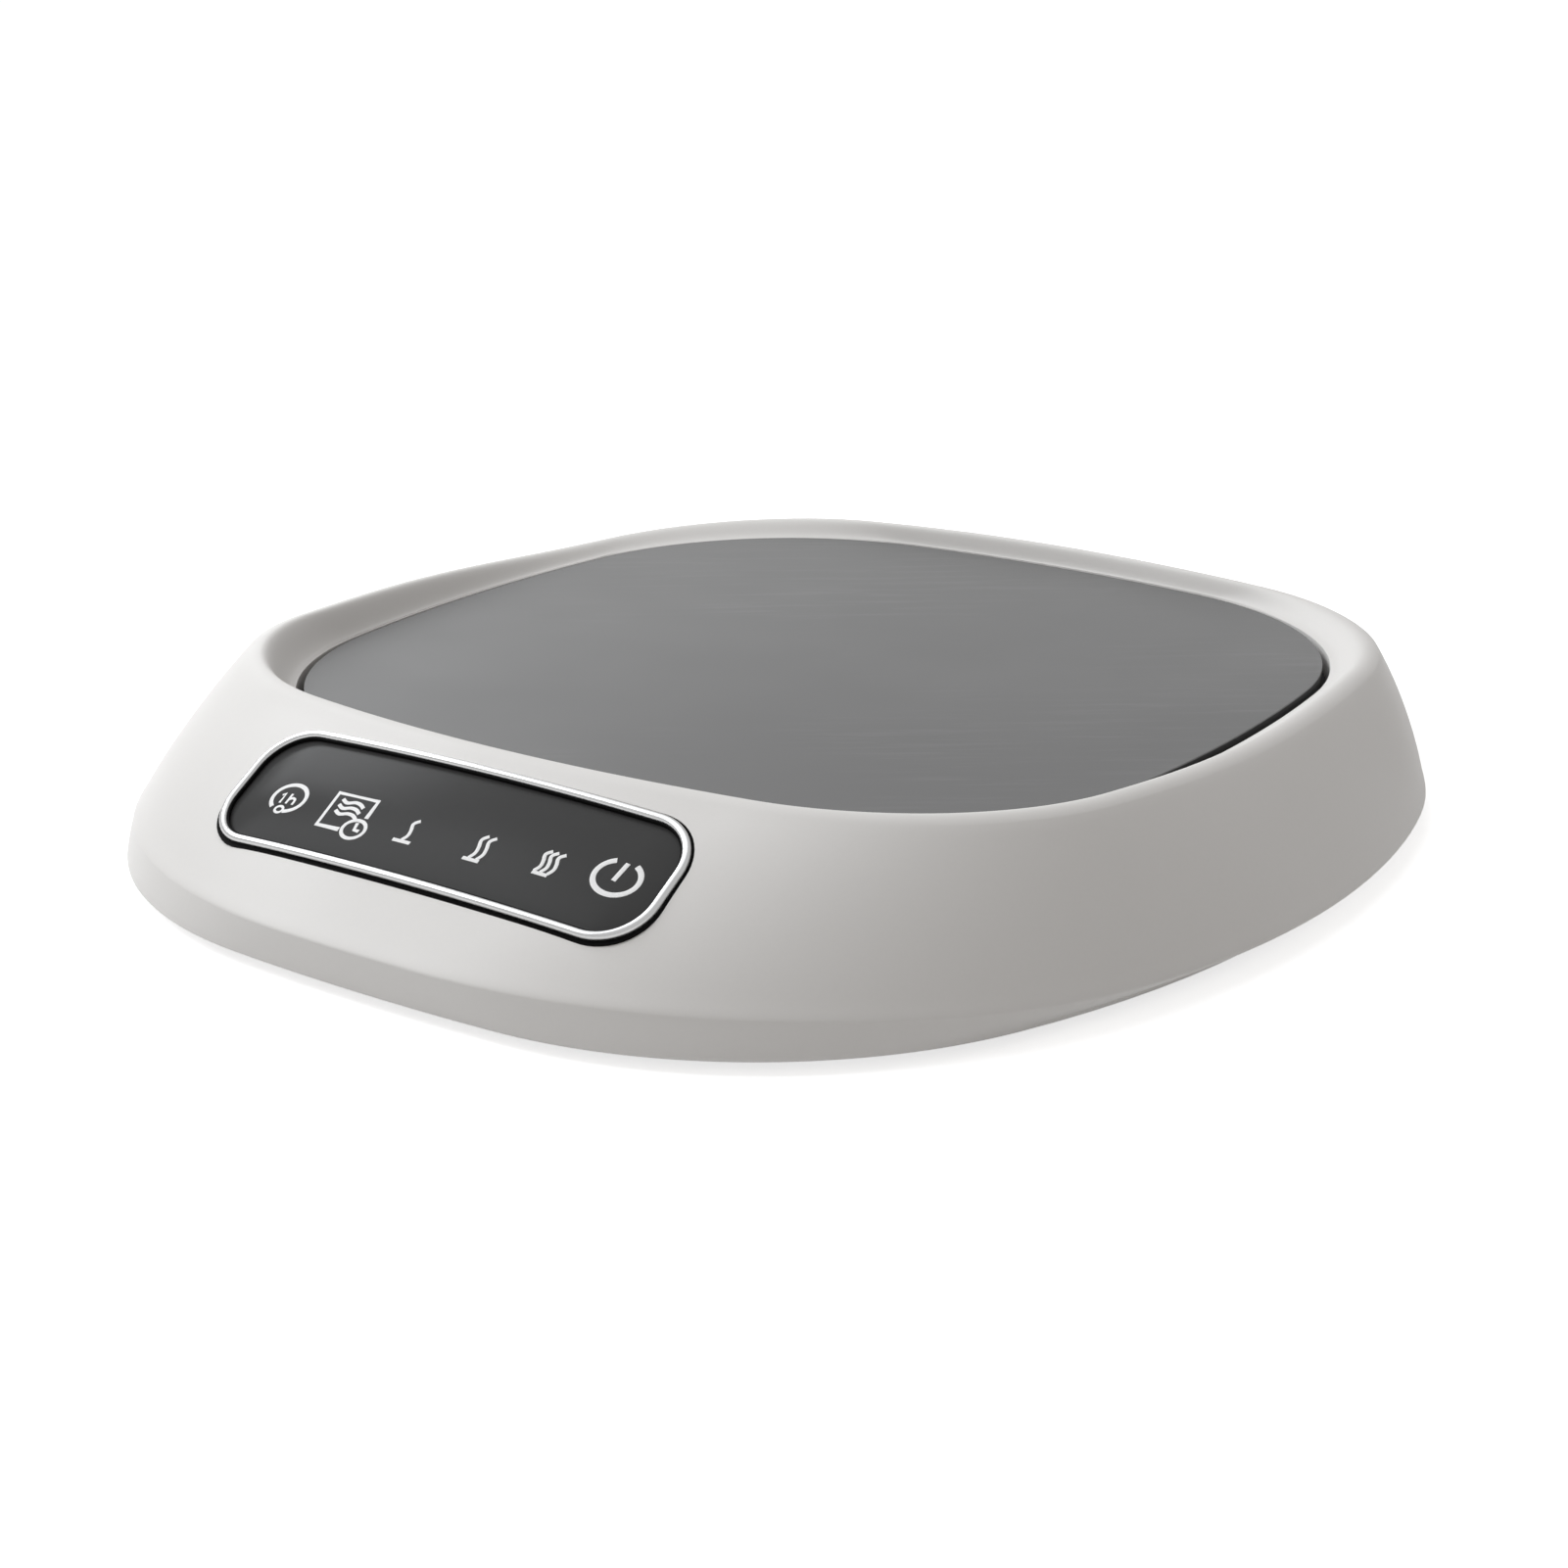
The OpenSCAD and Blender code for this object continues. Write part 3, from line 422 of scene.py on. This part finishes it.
def housingSections():
    tuckLine = grown(baseLine, 0, 0.45)
    turnLine = atHeight(bellyLine, shape["edgeHeight"] + 1.2)
    roundLine = grown(rimLine, shape["rimRound"] / 2)
    edge = shape["edgeWidth"]
    lipTop = grown(openLine, shape["lip"])
    return ([grown(baseLine, -edge), grown(baseLine, -0.5), grown(baseLine, -0.12, 0.05),
             grown(baseLine, 0, 0.2), tuckLine]
            + [bent(tuckLine, turnLine, bellyLine, t) for t in (0.2, 0.4, 0.6, 0.8)]
            + [bent(bellyLine, shoulderLine, slopeFoot, i / 8) for i in range(8)]
            + [slope(i / 16) for i in range(16)]
            + [bent(slopeTop, roundLine, rimLine, i / 10) for i in range(10)]
            + [cove(i / 14) for i in range(14)]
            + [grown(openLine, 0.2), grown(openLine, 0.06, -0.06), grown(openLine, 0, -0.2)]
            + [atHeight(openLine, shape["lipZ"]), atHeight(lipTop, shape["lipZ"]),
               atHeight(lipTop, shape["plateTop"] - housingLook["lipDrop"])]
            + [slopeInside(t) for t in (0.85, 0.65, 0.45, 0.25, 0.08)]
            + [grown(baseLine, -edge, 2.3)])


def cutFrom(piece, bm):
    cutter = meshObject("cutter", bm)
    cut = piece.modifiers.new("cut", "BOOLEAN")
    cut.operation = "DIFFERENCE"
    cut.solver = "EXACT"
    cut.object = cutter
    applyModifiers(piece, cutter)


def makeHousing():
    piece = meshObject("housing", lofted(housingSections(), housingLook["counts"], closed=True),
                       housingLook["sharpAngle"])
    gap = panel["pocketGap"]
    pocket = roundedPlate(panelLength + 2 * gap, panelWidth + 2 * gap, panel["cornerR"] + gap,
                          3, -panel["pocketDepth"])
    bmesh.ops.translate(pocket, vec=(0, panel["pocketShift"], 0), verts=pocket.verts)
    layOnSlope(pocket)
    cutFrom(piece, pocket)
    hole = bmesh.new()
    radius = inletHole["radius"] * mm
    bmesh.ops.create_cone(hole, cap_ends=True, segments=48, radius1=radius, radius2=radius,
                          depth=inletHole["length"] * mm)
    bmesh.ops.rotate(hole, cent=(0, 0, 0), matrix=Matrix.Rotation(math.pi / 2, 3, "X"),
                     verts=hole.verts)
    bmesh.ops.translate(hole, vec=Vector(inletHole["place"]) * mm, verts=hole.verts)
    cutFrom(piece, hole)
    piece.data.shade_smooth()
    piece.data.set_sharp_from_angle(angle=math.radians(housingLook["sharpAngle"]))
    dress(piece, "housing", housingPlastic, "housing_plastic", "top_shell")
    print("housing made")


makeHousing()


plateLook = {
    "counts": (14, 36, 14), "edgeRound": 0.11, "trim": 0.22,
    "coating": dict(color=(0.14, 0.14, 0.14), roughness=0.45, grain=5200.0, tone=0.05,
                    spread=0.03, bump=0.12, depth=0.00002, specular=0.32),
    "sheenColor": (0.30, 0.30, 0.30), "sheenShare": 0.16, "sheenTurn": -38,
    "paintedGapShade": (0.01, 0.01, 0.01), "gapShadeBelow": 0.13,
}


def makePlate():
    edgeLine = grown(plateLine, -plateLook["trim"])
    rings = [atHeight(edgeLine, shape["plateTop"] - shape["plateThick"])]
    edge = plateLook["edgeRound"]
    for i in range(7):
        a = math.pi / 2 * i / 6
        rings.append(grown(edgeLine, -edge * (1 - math.cos(a)), -edge * (1 - math.sin(a))))
    bm = lofted(rings, plateLook["counts"], closed=False)
    bmesh.ops.holes_fill(bm, edges=[e for e in bm.edges if e.is_boundary], sides=0)
    bmesh.ops.recalc_face_normals(bm, faces=bm.faces)
    piece = meshObject("heatingPlate", bm, 35)
    coated = finish("plateCoating", **plateLook["coating"])
    tree = coated.node_tree
    shader = tree.nodes["Principled BSDF"]
    place = tree.nodes["Texture Coordinate"]
    # painted sheen: faint lighter long streaks mixed into the plate's colour
    sheenLines = node(tree, "ShaderNodeGroup", node_tree=paintedSheenStreaks)
    turned = tree.nodes.new("ShaderNodeMapping")
    turned.inputs["Rotation"].default_value = (0, 0, math.radians(plateLook["sheenTurn"]))
    tree.links.new(place.outputs["Object"], turned.inputs["Vector"])
    tree.links.new(turned.outputs["Vector"], sheenLines.inputs["Vector"])
    sheenMixed = node(tree, "ShaderNodeMix", data_type="RGBA")
    tree.links.new(ranged(tree, sheenLines.outputs["Mask"], 0, 1, 0, plateLook["sheenShare"]),
                   sheenMixed.inputs["Factor"])
    tree.links.new(shader.inputs["Base Color"].links[0].from_socket, sheenMixed.inputs["A"])
    sheenMixed.inputs["B"].default_value = (*plateLook["sheenColor"], 1)
    # painted shade: the narrow side of the plate is painted near black below its edge, so that the
    # gap round the plate reads as shadow
    height = tree.nodes.new("ShaderNodeSeparateXYZ")
    tree.links.new(place.outputs["Object"], height.inputs["Vector"])
    inGapShade = math2(tree, "LESS_THAN", height.outputs["Z"],
                   (shape["plateTop"] - plateLook["gapShadeBelow"]) * mm)
    gapShaded = node(tree, "ShaderNodeMix", data_type="RGBA")
    tree.links.new(inGapShade, gapShaded.inputs["Factor"])
    tree.links.new(sheenMixed.outputs["Result"], gapShaded.inputs["A"])
    gapShaded.inputs["B"].default_value = (*plateLook["paintedGapShade"], 1)
    tree.links.new(gapShaded.outputs["Result"], shader.inputs["Base Color"])
    dress(piece, "plate", coated, "plate_metal", "heating_plate")
    print("heating plate made")


makePlate()


windowLook = {"color": (0.060, 0.060, 0.060), "roughness": 0.22, "grain": 900.0, "tone": 0.02,
              "spread": 0.02, "bump": 0.01, "specular": 0.035}
# painted shadow: near black for the rings that stand in for the shaded gaps round the panel frame
gapShadowLook = {"color": (0.006, 0.006, 0.006), "roughness": 0.7, "grain": 3000.0, "tone": 0.1,
                "spread": 0.08, "bump": 0.3, "specular": 0.03}
frameLook = {"color": (0.46, 0.46, 0.46), "roughness": 0.21, "grain": 700.0, "tone": 0.02,
             "spread": 0.03, "bump": 0.02, "metallic": 1.0}


def makeWindow():
    inset = panel["barWidth"] + panel["windowPlay"]
    bm = roundedPlate(panelLength - 2 * inset, panelWidth - 2 * inset, panel["cornerR"] - inset,
                      -panel["windowSink"], -panel["windowSink"] - panel["windowThick"])
    bmesh.ops.bevel(bm, geom=rimEdges(bm, -panel["windowSink"]), offset=panel["windowEdge"],
                    affect="EDGES", segments=3, profile=0.5, material=-1)
    layOnSlope(bm)
    piece = meshObject("touchWindow", bm, 40)
    gloss = finish("windowGloss", **windowLook)
    dress(piece, "housing", gloss, "window_gloss", "touch_panel")


def makeFrame():
    bar, top = panel["barWidth"], panel["barHeight"]
    bottom = -panel["windowSink"] - panel["windowThick"]
    bm = roundedPlate(panelLength, panelWidth, panel["cornerR"], top, bottom)
    inner = roundedPlate(panelLength - 2 * bar, panelWidth - 2 * bar, panel["cornerR"] - bar,
                         top + 1, bottom - 1)
    piece = meshObject("panelFrame", bm)
    cutFrom(piece, inner)
    bm = bmesh.new()
    bm.from_mesh(piece.data)
    bmesh.ops.remove_doubles(bm, verts=bm.verts, dist=1e-4)
    bm.normal_update()
    bmesh.ops.bevel(bm, geom=rimEdges(bm, top), offset=panel["barRound"], affect="EDGES",
                    segments=5, profile=0.5, material=-1)
    layOnSlope(bm)
    bpy.data.objects.remove(piece)
    piece = meshObject("panelFrame", bm, 50)
    polished = finish("framePolish", **frameLook)
    dress(piece, "housing", polished, "bezel_chrome", "panel_bezel")


def cutRing(name, outer, inner):
    piece = meshObject(name, outer)
    cutFrom(piece, inner)
    bm = bmesh.new()
    bm.from_mesh(piece.data)
    layOnSlope(bm)
    bpy.data.objects.remove(piece)
    return meshObject(name, bm, 40)


def makeGapShadows():
    # painted shadow: a black ring between the metal frame and the housing, and a thin one inside the
    # frame, put where these gaps fall into shade
    gap, bar, wide = panel["pocketGap"], panel["barWidth"], panel["innerShadowWidth"]
    shadowBlack = finish("paintedGapShadow", **gapShadowLook)
    outer = roundedPlate(panelLength + 2 * gap - 0.02, panelWidth + 2 * gap - 0.02,
                         panel["cornerR"] + gap, -panel["rimDrop"], -panel["pocketDepth"] + 0.02)
    bmesh.ops.translate(outer, vec=(0, panel["pocketShift"], 0), verts=outer.verts)
    inner = roundedPlate(panelLength + 0.01, panelWidth + 0.01, panel["cornerR"], 2, -3)
    dress(cutRing("panelGapShadow", outer, inner), "housing", shadowBlack, "foam_black")
    outer = roundedPlate(panelLength - 2 * bar - 0.01, panelWidth - 2 * bar - 0.01,
                         panel["cornerR"] - bar, panel["innerShadowTop"], -panel["windowSink"] - 0.3)
    bar += wide
    inner = roundedPlate(panelLength - 2 * bar, panelWidth - 2 * bar, panel["cornerR"] - bar,
                         2, -3)
    dress(cutRing("panelInnerShadow", outer, inner), "housing", shadowBlack, "foam_black")


symbols = {
    "thin": 0.15, "line": 0.20, "fat": 0.26, "squash": 0.82, "press": 0.08,
    "uprightWave": ((-0.28, 0), (0.06, 0.24), (-0.02, 0.5), (-0.26, 0.8), (0.28, 1)),
    "levelWave": ((0, 0.3), (0.25, -0.06), (0.55, 0.18), (0.8, 0.08), (1, -0.3)),
}
inkLook = {"color": (0.94, 0.94, 0.94), "roughness": 0.5, "grain": 4000.0, "tone": 0.05,
           "bump": 0.1}


def smooth(points, steps=7):
    # soft line through the given points
    padded = [points[0], *points, points[-1]]
    line = []
    for a, b, c, d in zip(padded, padded[1:], padded[2:], padded[3:]):
        for i in range(steps):
            t = i / steps
            line.append(tuple(0.5 * (2 * q + (r - p) * t + (2 * p - 5 * q + 4 * r - w) * t ** 2
                                     + (3 * q - p - 3 * r + w) * t ** 3)
                              for p, q, r, w in zip(a, b, c, d)))
    return line + [points[-1]]


def arc(x, y, r, start=0, end=360, steps=40):
    return [(x + r * math.cos(math.radians(start + (end - start) * i / steps)),
             y + symbols["squash"] * r * math.sin(math.radians(start + (end - start) * i / steps)))
            for i in range(steps + 1)]


def symbolStrokes():
    # lists of points in the panel's frame, each with half its stroke's width
    thin, line, fat = symbols["thin"], symbols["line"], symbols["fat"]
    strokes = []
    # timer: ring with 1h and a small ring at its foot
    strokes.append((arc(-19.68, -0.98, 2.1, -78, 232), 1.15 * line))
    strokes.append((arc(-19.85, -2.52, 0.5, 0, 360, 20), thin))
    strokes.append(([(-20.75, -0.78), (-20.42, -0.5), (-20.42, -1.75)], thin))
    strokes.append(([(-19.6, -0.4), (-19.6, -1.7)], thin))
    strokes.append((smooth([(-19.6, -1.2), (-19.25, -0.92), (-18.85, -1.0), (-18.75, -1.3),
                            (-18.75, -1.7)], 4), thin))
    # drying: square frame with three level waves and a clock at its corner
    strokes.append(([(-11.0, -3.25), (-14.02, -3.25), (-14.16, 0.92), (-8.95, 0.92),
                     (-8.86, -1.35)], fat))
    for x, y in ((-13.2, 0.0), (-13.2, -0.72), (-13.1, -1.45)):
        level = smooth([(x + 3.15 * a, y + b) for a, b in symbols["levelWave"]])
        strokes.append((level, line))
    strokes.append((arc(-9.36, -2.86, 1.38), line))
    strokes.append(([(-9.42, -2.05), (-9.25, -2.9), (-8.6, -2.95)], line))
    # one, two and three heat waves over a dash
    for feet, low, high, dash in (((-2.95,), -2.66, -0.11, (-4.25, -2.05)),
                                  ((5.4, 6.33), -2.62, 0.2, (4.5, 6.45)),
                                  ((12.78, 13.5, 14.33), -2.0, 0.54, (12.4, 14.15))):
        for x in feet:
            upright = [(x + a, low + (high - low) * b) for a, b in symbols["uprightWave"]]
            strokes.append((smooth(upright), line))
        strokes.append(([(dash[0], low - 0.16), (dash[1], low - 0.16)], line))
    # power: open ring with a stick
    strokes.append((arc(20.82, -0.16, 2.42, 117, 421), 1.1 * fat))
    strokes.append(([(20.97, 1.62), (20.68, -0.6)], fat))
    return strokes


def tubes(strokes):
    # round strokes through lists of points, each with half its width; one whose ends meet is
    # a closed ring
    lines = bpy.data.curves.new("strokes", "CURVE")
    lines.dimensions = "3D"
    lines.bevel_depth = 1
    lines.bevel_resolution = 3
    lines.use_fill_caps = True
    for points, width in strokes:
        closed = (Vector(points[0]) - Vector(points[-1])).length < 1e-3
        if closed:
            points = points[:-1]
        line = lines.splines.new("POLY")
        line.points.add(len(points) - 1)
        line.use_cyclic_u = closed
        for p, place in zip(line.points, points):
            p.co = (*place, 1)
            p.radius = width
    drawn = bpy.data.objects.new("strokes", lines)
    bpy.context.scene.collection.objects.link(drawn)
    graph = bpy.context.evaluated_depsgraph_get()
    mesh = bpy.data.meshes.new_from_object(drawn.evaluated_get(graph))
    bm = bmesh.new()
    bm.from_mesh(mesh)
    bpy.data.objects.remove(drawn)
    return bm


def makeSymbols():
    bm = tubes([([(x, y, 0) for x, y in points], width) for points, width in symbolStrokes()])
    for v in bm.verts:  # the round strokes are pressed flat on to the window
        v.co.z = v.co.z * symbols["press"] - panel["windowSink"]
    layOnSlope(bm)
    piece = meshObject("panelSymbols", bm, 60)
    ink = finish("symbolInk", **inkLook)
    dress(piece, "housing", ink, "guide_white")


makeWindow()
makeFrame()
makeGapShadows()
makeSymbols()
print("touch panel made")


feet = {
    "places": (46.98, 34.484),
    "profile": ((0.0, 0.35), (2.9, 0.35), (3.2, 0.0), (5.1, 0.0), (5.38, 0.1), (5.5, 0.4),
                (5.5, 2.0), (0.0, 2.0)),
    "look": dict(color=(0.035, 0.035, 0.036), roughness=0.75, grain=2200.0, tone=0.15,
                 spread=0.1, bump=0.35),
}


def makeFeet():
    bm = bmesh.new()
    for sx in (-1, 1):
        for sy in (-1, 1):
            x, y = sx * feet["places"][0], sy * feet["places"][1]
            chain = [bm.verts.new((x + r, y, z)) for r, z in feet["profile"]]
            edges = [bm.edges.new(pair) for pair in zip(chain, chain[1:])]
            bmesh.ops.spin(bm, geom=chain + edges, cent=(x, y, 0), axis=(0, 0, 1),
                           angle=2 * math.pi, steps=48, use_merge=True)
    bmesh.ops.remove_doubles(bm, verts=bm.verts, dist=1e-4)
    bmesh.ops.recalc_face_normals(bm, faces=bm.faces)
    bmesh.ops.scale(bm, vec=(mm, mm, mm), verts=bm.verts)
    rubber = finish("footRubber", **feet["look"])
    dress(meshObject("rubberFeet", bm, 35), "housing", rubber, "foot_rubber", "feet")


inlet = {
    "height": 6.4,
    "profile": ((1.8, 58.5), (2.7, 58.5), (2.7, 58.68), (2.95, 58.72), (2.95, 59.65), (2.7, 59.68),
                (2.7, 61.48), (2.95, 61.5), (2.95, 62.4), (2.7, 62.45), (2.7, 69.4), (2.58, 69.7),
                (2.35, 69.85), (2.05, 69.85), (1.88, 69.78), (1.8, 69.6)),
    "look": dict(color=(0.05, 0.05, 0.052), roughness=0.6, grain=2500.0, tone=0.1, bump=0.25),
}


def makeInlet():
    bm = bmesh.new()
    chain = [bm.verts.new((r, y, inlet["height"])) for r, y in inlet["profile"]]
    edges = [bm.edges.new(pair) for pair in zip(chain, chain[1:] + chain[:1])]
    bmesh.ops.spin(bm, geom=chain + edges, cent=(0, 0, inlet["height"]), axis=(0, 1, 0),
                   angle=2 * math.pi, steps=48, use_merge=True)
    bmesh.ops.remove_doubles(bm, verts=bm.verts, dist=1e-4)
    bmesh.ops.recalc_face_normals(bm, faces=bm.faces)
    bmesh.ops.scale(bm, vec=(mm, mm, mm), verts=bm.verts)
    rubber = finish("inletRubber", **inlet["look"])
    dress(meshObject("cordInlet", bm, 35), "housing", rubber, "inlet_rubber", "cord_gland")


makeFeet()
makeInlet()
print("feet and inlet made")


springs = {
    "wire": 0.8, "across": 9.2, "turns": 4, "steps": 24, "places": (36, 35.8), "foot": 3.2,
    "seat": 9.8, "play": 0.05, "travel": 0.8,
    "look": dict(color=(0.62, 0.62, 0.62), roughness=0.25, metallic=1.0, tone=0.06),
}


def makeSprings():
    # four coils, built at full height; on the real warmer the plate presses them together as it
    # sinks
    r, low = springs["wire"] / 2, springs["foot"] + springs["play"]
    high = springs["seat"] - springs["play"]
    count = springs["turns"] * springs["steps"]
    coils = []
    for sx in (-1, 1):
        for sy in (-1, 1):
            x, y = sx * springs["places"][0], shape["plateY"] + sy * springs["places"][1]
            coil = []
            for i in range(count + 1):
                a = 2 * math.pi * i / springs["steps"]
                coil.append((x + springs["across"] / 2 * math.cos(a),
                             y + springs["across"] / 2 * math.sin(a),
                             low + r + (high - low - 2 * r) * i / count))
            coils.append((coil, r))
    bm = tubes(coils)
    bmesh.ops.scale(bm, vec=(mm, mm, mm), verts=bm.verts)
    steel = finish("springSteel", **springs["look"])
    piece = dress(meshObject("plateSprings", bm, 60), "housing", steel, "spring_steel",
                  "plate_springs")
    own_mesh(piece)


makeSprings()
print("springs made")


kept = {
    "base_cover": dict(color=(0.12, 0.12, 0.122), roughness=0.6, grain=1800.0, tone=0.08,
                       bump=0.4),
    "base_screws": dict(color=(0.55, 0.55, 0.55), roughness=0.3, metallic=1.0, tone=0.08),
    "plate_seal": dict(color=(0.008, 0.008, 0.008), roughness=0.6, bump=0.2, specular=0.05),
    "plate_carrier": dict(color=(0.04, 0.04, 0.042), roughness=0.55, bump=0.3),
    "carrier_screws": dict(color=(0.55, 0.55, 0.54), roughness=0.32, metallic=1.0),
    "insulation_pad": dict(color=(0.62, 0.56, 0.44), roughness=0.95, grain=900.0, tone=0.2,
                           bump=0.9, depth=0.0002),
    "heater_film": dict(color=(0.52, 0.34, 0.20), roughness=0.35, metallic=1.0, tone=0.1),
    "heat_spreader": dict(color=(0.78, 0.78, 0.79), roughness=0.38, metallic=1.0, tone=0.05),
    "thermistor": dict(color=(0.02, 0.02, 0.022), roughness=0.35, tone=0.1),
    "thermal_fuse": dict(color=(0.80, 0.79, 0.74), roughness=0.4, tone=0.05),
    "load_switch": dict(color=(0.025, 0.025, 0.027), roughness=0.45, tone=0.1),
    "switch_plunger": dict(color=(0.45, 0.05, 0.04), roughness=0.4, tone=0.06),
    "power_board": dict(color=(0.035, 0.15, 0.07), roughness=0.35, grain=1200.0, tone=0.2,
                        coat=0.4),
    "touch_board": dict(color=(0.035, 0.15, 0.07), roughness=0.35, grain=1200.0, tone=0.2,
                        coat=0.4),
    "board_screws": dict(color=(0.6, 0.6, 0.6), roughness=0.3, metallic=1.0),
    "touch_screws": dict(color=(0.6, 0.6, 0.6), roughness=0.3, metallic=1.0),
    "terminal_screws": dict(color=(0.72, 0.58, 0.30), roughness=0.3, metallic=1.0),
    "cord_terminal": dict(color=(0.78, 0.78, 0.75), roughness=0.45, tone=0.05),
    "lead_socket": dict(color=(0.78, 0.78, 0.75), roughness=0.45, tone=0.05),
    "ribbon_socket": dict(color=(0.76, 0.74, 0.66), roughness=0.45, tone=0.05),
    "panel_ribbon": dict(color=(0.55, 0.26, 0.06), roughness=0.3, tone=0.1, coat=0.3),
    "supply_leads": dict(color=(0.42, 0.05, 0.035), roughness=0.45, tone=0.08),
    "power_switcher": dict(color=(0.02, 0.02, 0.021), roughness=0.4, tone=0.12),
    "filter_capacitor": dict(color=(0.60, 0.62, 0.65), roughness=0.3, metallic=1.0, tone=0.06),
    "fuse_clips": dict(color=(0.75, 0.60, 0.32), roughness=0.3, metallic=1.0, tone=0.06),
    "panel_gasket": dict(color=(0.012, 0.012, 0.012), roughness=0.9, grain=1500.0, tone=0.2,
                         bump=0.6),
    "light_guide": dict(color=(0.84, 0.84, 0.82), roughness=0.3, tone=0.03, coat=0.2),
    "indicator_lights": dict(color=(0.85, 0.82, 0.66), roughness=0.3, tone=0.03, coat=0.3),
}
for name, look in kept.items():
    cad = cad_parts[name]
    cad.data.materials.clear()
    cad.data.materials.append(finish(name + "Finish", **look))

glassLook = {"color": (0.9, 0.93, 0.93), "roughness": 0.06, "grain": 600.0, "tone": 0.02,
             "bump": 0.01}
glassClear = 0.9
fuseGlass = finish("fuseGlass", **glassLook)
glassShader = fuseGlass.node_tree.nodes["Principled BSDF"]
glassShader.inputs["Transmission Weight"].default_value = glassClear
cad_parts["glass_fuse"].data.materials.clear()
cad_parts["glass_fuse"].data.materials.append(fuseGlass)
print("kept parts dressed")


studio = {
    "floorHalf": 4, "floorColor": (0.84, 0.84, 0.84), "floorGrain": 300.0, "floorTone": 0.004,
    "floorRoughness": 0.8, "floorSpecular": 0.1, "floorLift": 0.70,
    "worldLight": (0.29, 0.278, 0.268), "lampColor": (0.95, 0.975, 1.0), "aim": (0, 0, 0.01),
    "lamps": {
        "mainLight": {"power": 3.4, "size": (0.46, 0.46), "place": (-0.64, -0.28, 0.70)},
        "glintLight": {"power": 1.5, "size": (0.26, 0.26), "place": (-0.76, 0.16, 0.65)},
        "topLight": {"power": 2.0, "size": (0.70, 0.70), "place": (-0.25, 0.05, 0.85)},
        "backLight": {"power": 0.8, "size": (0.50, 0.50), "place": (-0.80, 0.45, 0.40)},
    },
}


def seenDirectly(tree):
    # 1 for rays that show a surface, as against rays that light one
    rays = tree.nodes.new("ShaderNodeLightPath")
    seen = math2(tree, "MAXIMUM", rays.outputs["Is Camera Ray"], rays.outputs["Is Glossy Ray"])
    return math2(tree, "MAXIMUM", seen, rays.outputs["Is Transmission Ray"])


def makeFloor():
    bm = bmesh.new()
    bmesh.ops.create_grid(bm, x_segments=1, y_segments=1, size=studio["floorHalf"])
    floor = meshObject("floor", bm)
    material = bpy.data.materials.new("paleFloor")
    material.use_nodes = True
    tree = material.node_tree
    shader = tree.nodes["Principled BSDF"]
    place = tree.nodes.new("ShaderNodeTexCoord")
    group = node(tree, "ShaderNodeGroup", node_tree=fineGrain)
    tree.links.new(place.outputs["Object"], group.inputs["Vector"])
    group.inputs["Color"].default_value = (*studio["floorColor"], 1)
    group.inputs["Scale"].default_value = studio["floorGrain"]
    group.inputs["Tone"].default_value = studio["floorTone"]
    group.inputs["Roughness"].default_value = studio["floorRoughness"]
    tree.links.new(group.outputs["Color"], shader.inputs["Base Color"])
    tree.links.new(group.outputs["Roughness"], shader.inputs["Roughness"])
    shader.inputs["Specular IOR Level"].default_value = studio["floorSpecular"]
    lift = math2(tree, "MULTIPLY", seenDirectly(tree), studio["floorLift"])
    shader.inputs["Emission Color"].default_value = (1, 1, 1, 1)
    tree.links.new(lift, shader.inputs["Emission Strength"])
    floor.data.materials.append(material)


def makeLamp(name, power, size, place):
    data = bpy.data.lights.new(name, "AREA")
    data.shape = "RECTANGLE"
    data.size, data.size_y = size
    data.energy = power
    data.color = studio["lampColor"]
    lamp = bpy.data.objects.new(name, data)
    lamp.location = place
    aim = Vector(studio["aim"]) - Vector(place)
    lamp.rotation_euler = aim.to_track_quat("-Z", "Y").to_euler()
    bpy.context.scene.collection.objects.link(lamp)


def makeWorld():
    world = bpy.data.worlds.new("studioWorld")
    world.use_nodes = True
    tree = world.node_tree
    sky = tree.nodes["Background"]
    shown = node(tree, "ShaderNodeMix", data_type="RGBA")
    tree.links.new(seenDirectly(tree), shown.inputs["Factor"])
    shown.inputs["A"].default_value = (*studio["worldLight"], 1)
    shown.inputs["B"].default_value = (1, 1, 1, 1)
    tree.links.new(shown.outputs["Result"], sky.inputs["Color"])
    bpy.context.scene.world = world


camera = {"azimuth": 35.672, "elevation": 18.866, "distance": 326.177, "right": 3.651,
          "up": 13.319, "focus": (0, 4.46, 15), "pixels": 3024.3, "frame": 1601, "sensor": 36,
          "clip": 0.01}


def makeCamera():
    a, e = math.radians(camera["azimuth"]), math.radians(camera["elevation"])
    back = Vector((math.sin(a) * math.cos(e), -math.cos(a) * math.cos(e), math.sin(e)))
    right = Vector((math.cos(a), math.sin(a), 0))
    up = back.cross(right)
    data = bpy.data.cameras.new("studioCamera")
    data.sensor_width = camera["sensor"]
    data.lens = camera["pixels"] / camera["frame"] * camera["sensor"]
    data.clip_start = camera["clip"]
    lens = bpy.data.objects.new("studioCamera", data)
    lens.location = (Vector(camera["focus"]) + back * camera["distance"]
                     - right * camera["right"] - up * camera["up"]) * mm
    lens.rotation_mode = "QUATERNION"
    lens.rotation_quaternion = (-back).to_track_quat("-Z", "Y")
    bpy.context.scene.collection.objects.link(lens)
    bpy.context.scene.camera = lens


makeFloor()
makeWorld()
for name, lamp in studio["lamps"].items():
    makeLamp(name, **lamp)
makeCamera()
bpy.context.scene.view_settings.view_transform = "Standard"
print("studio made")
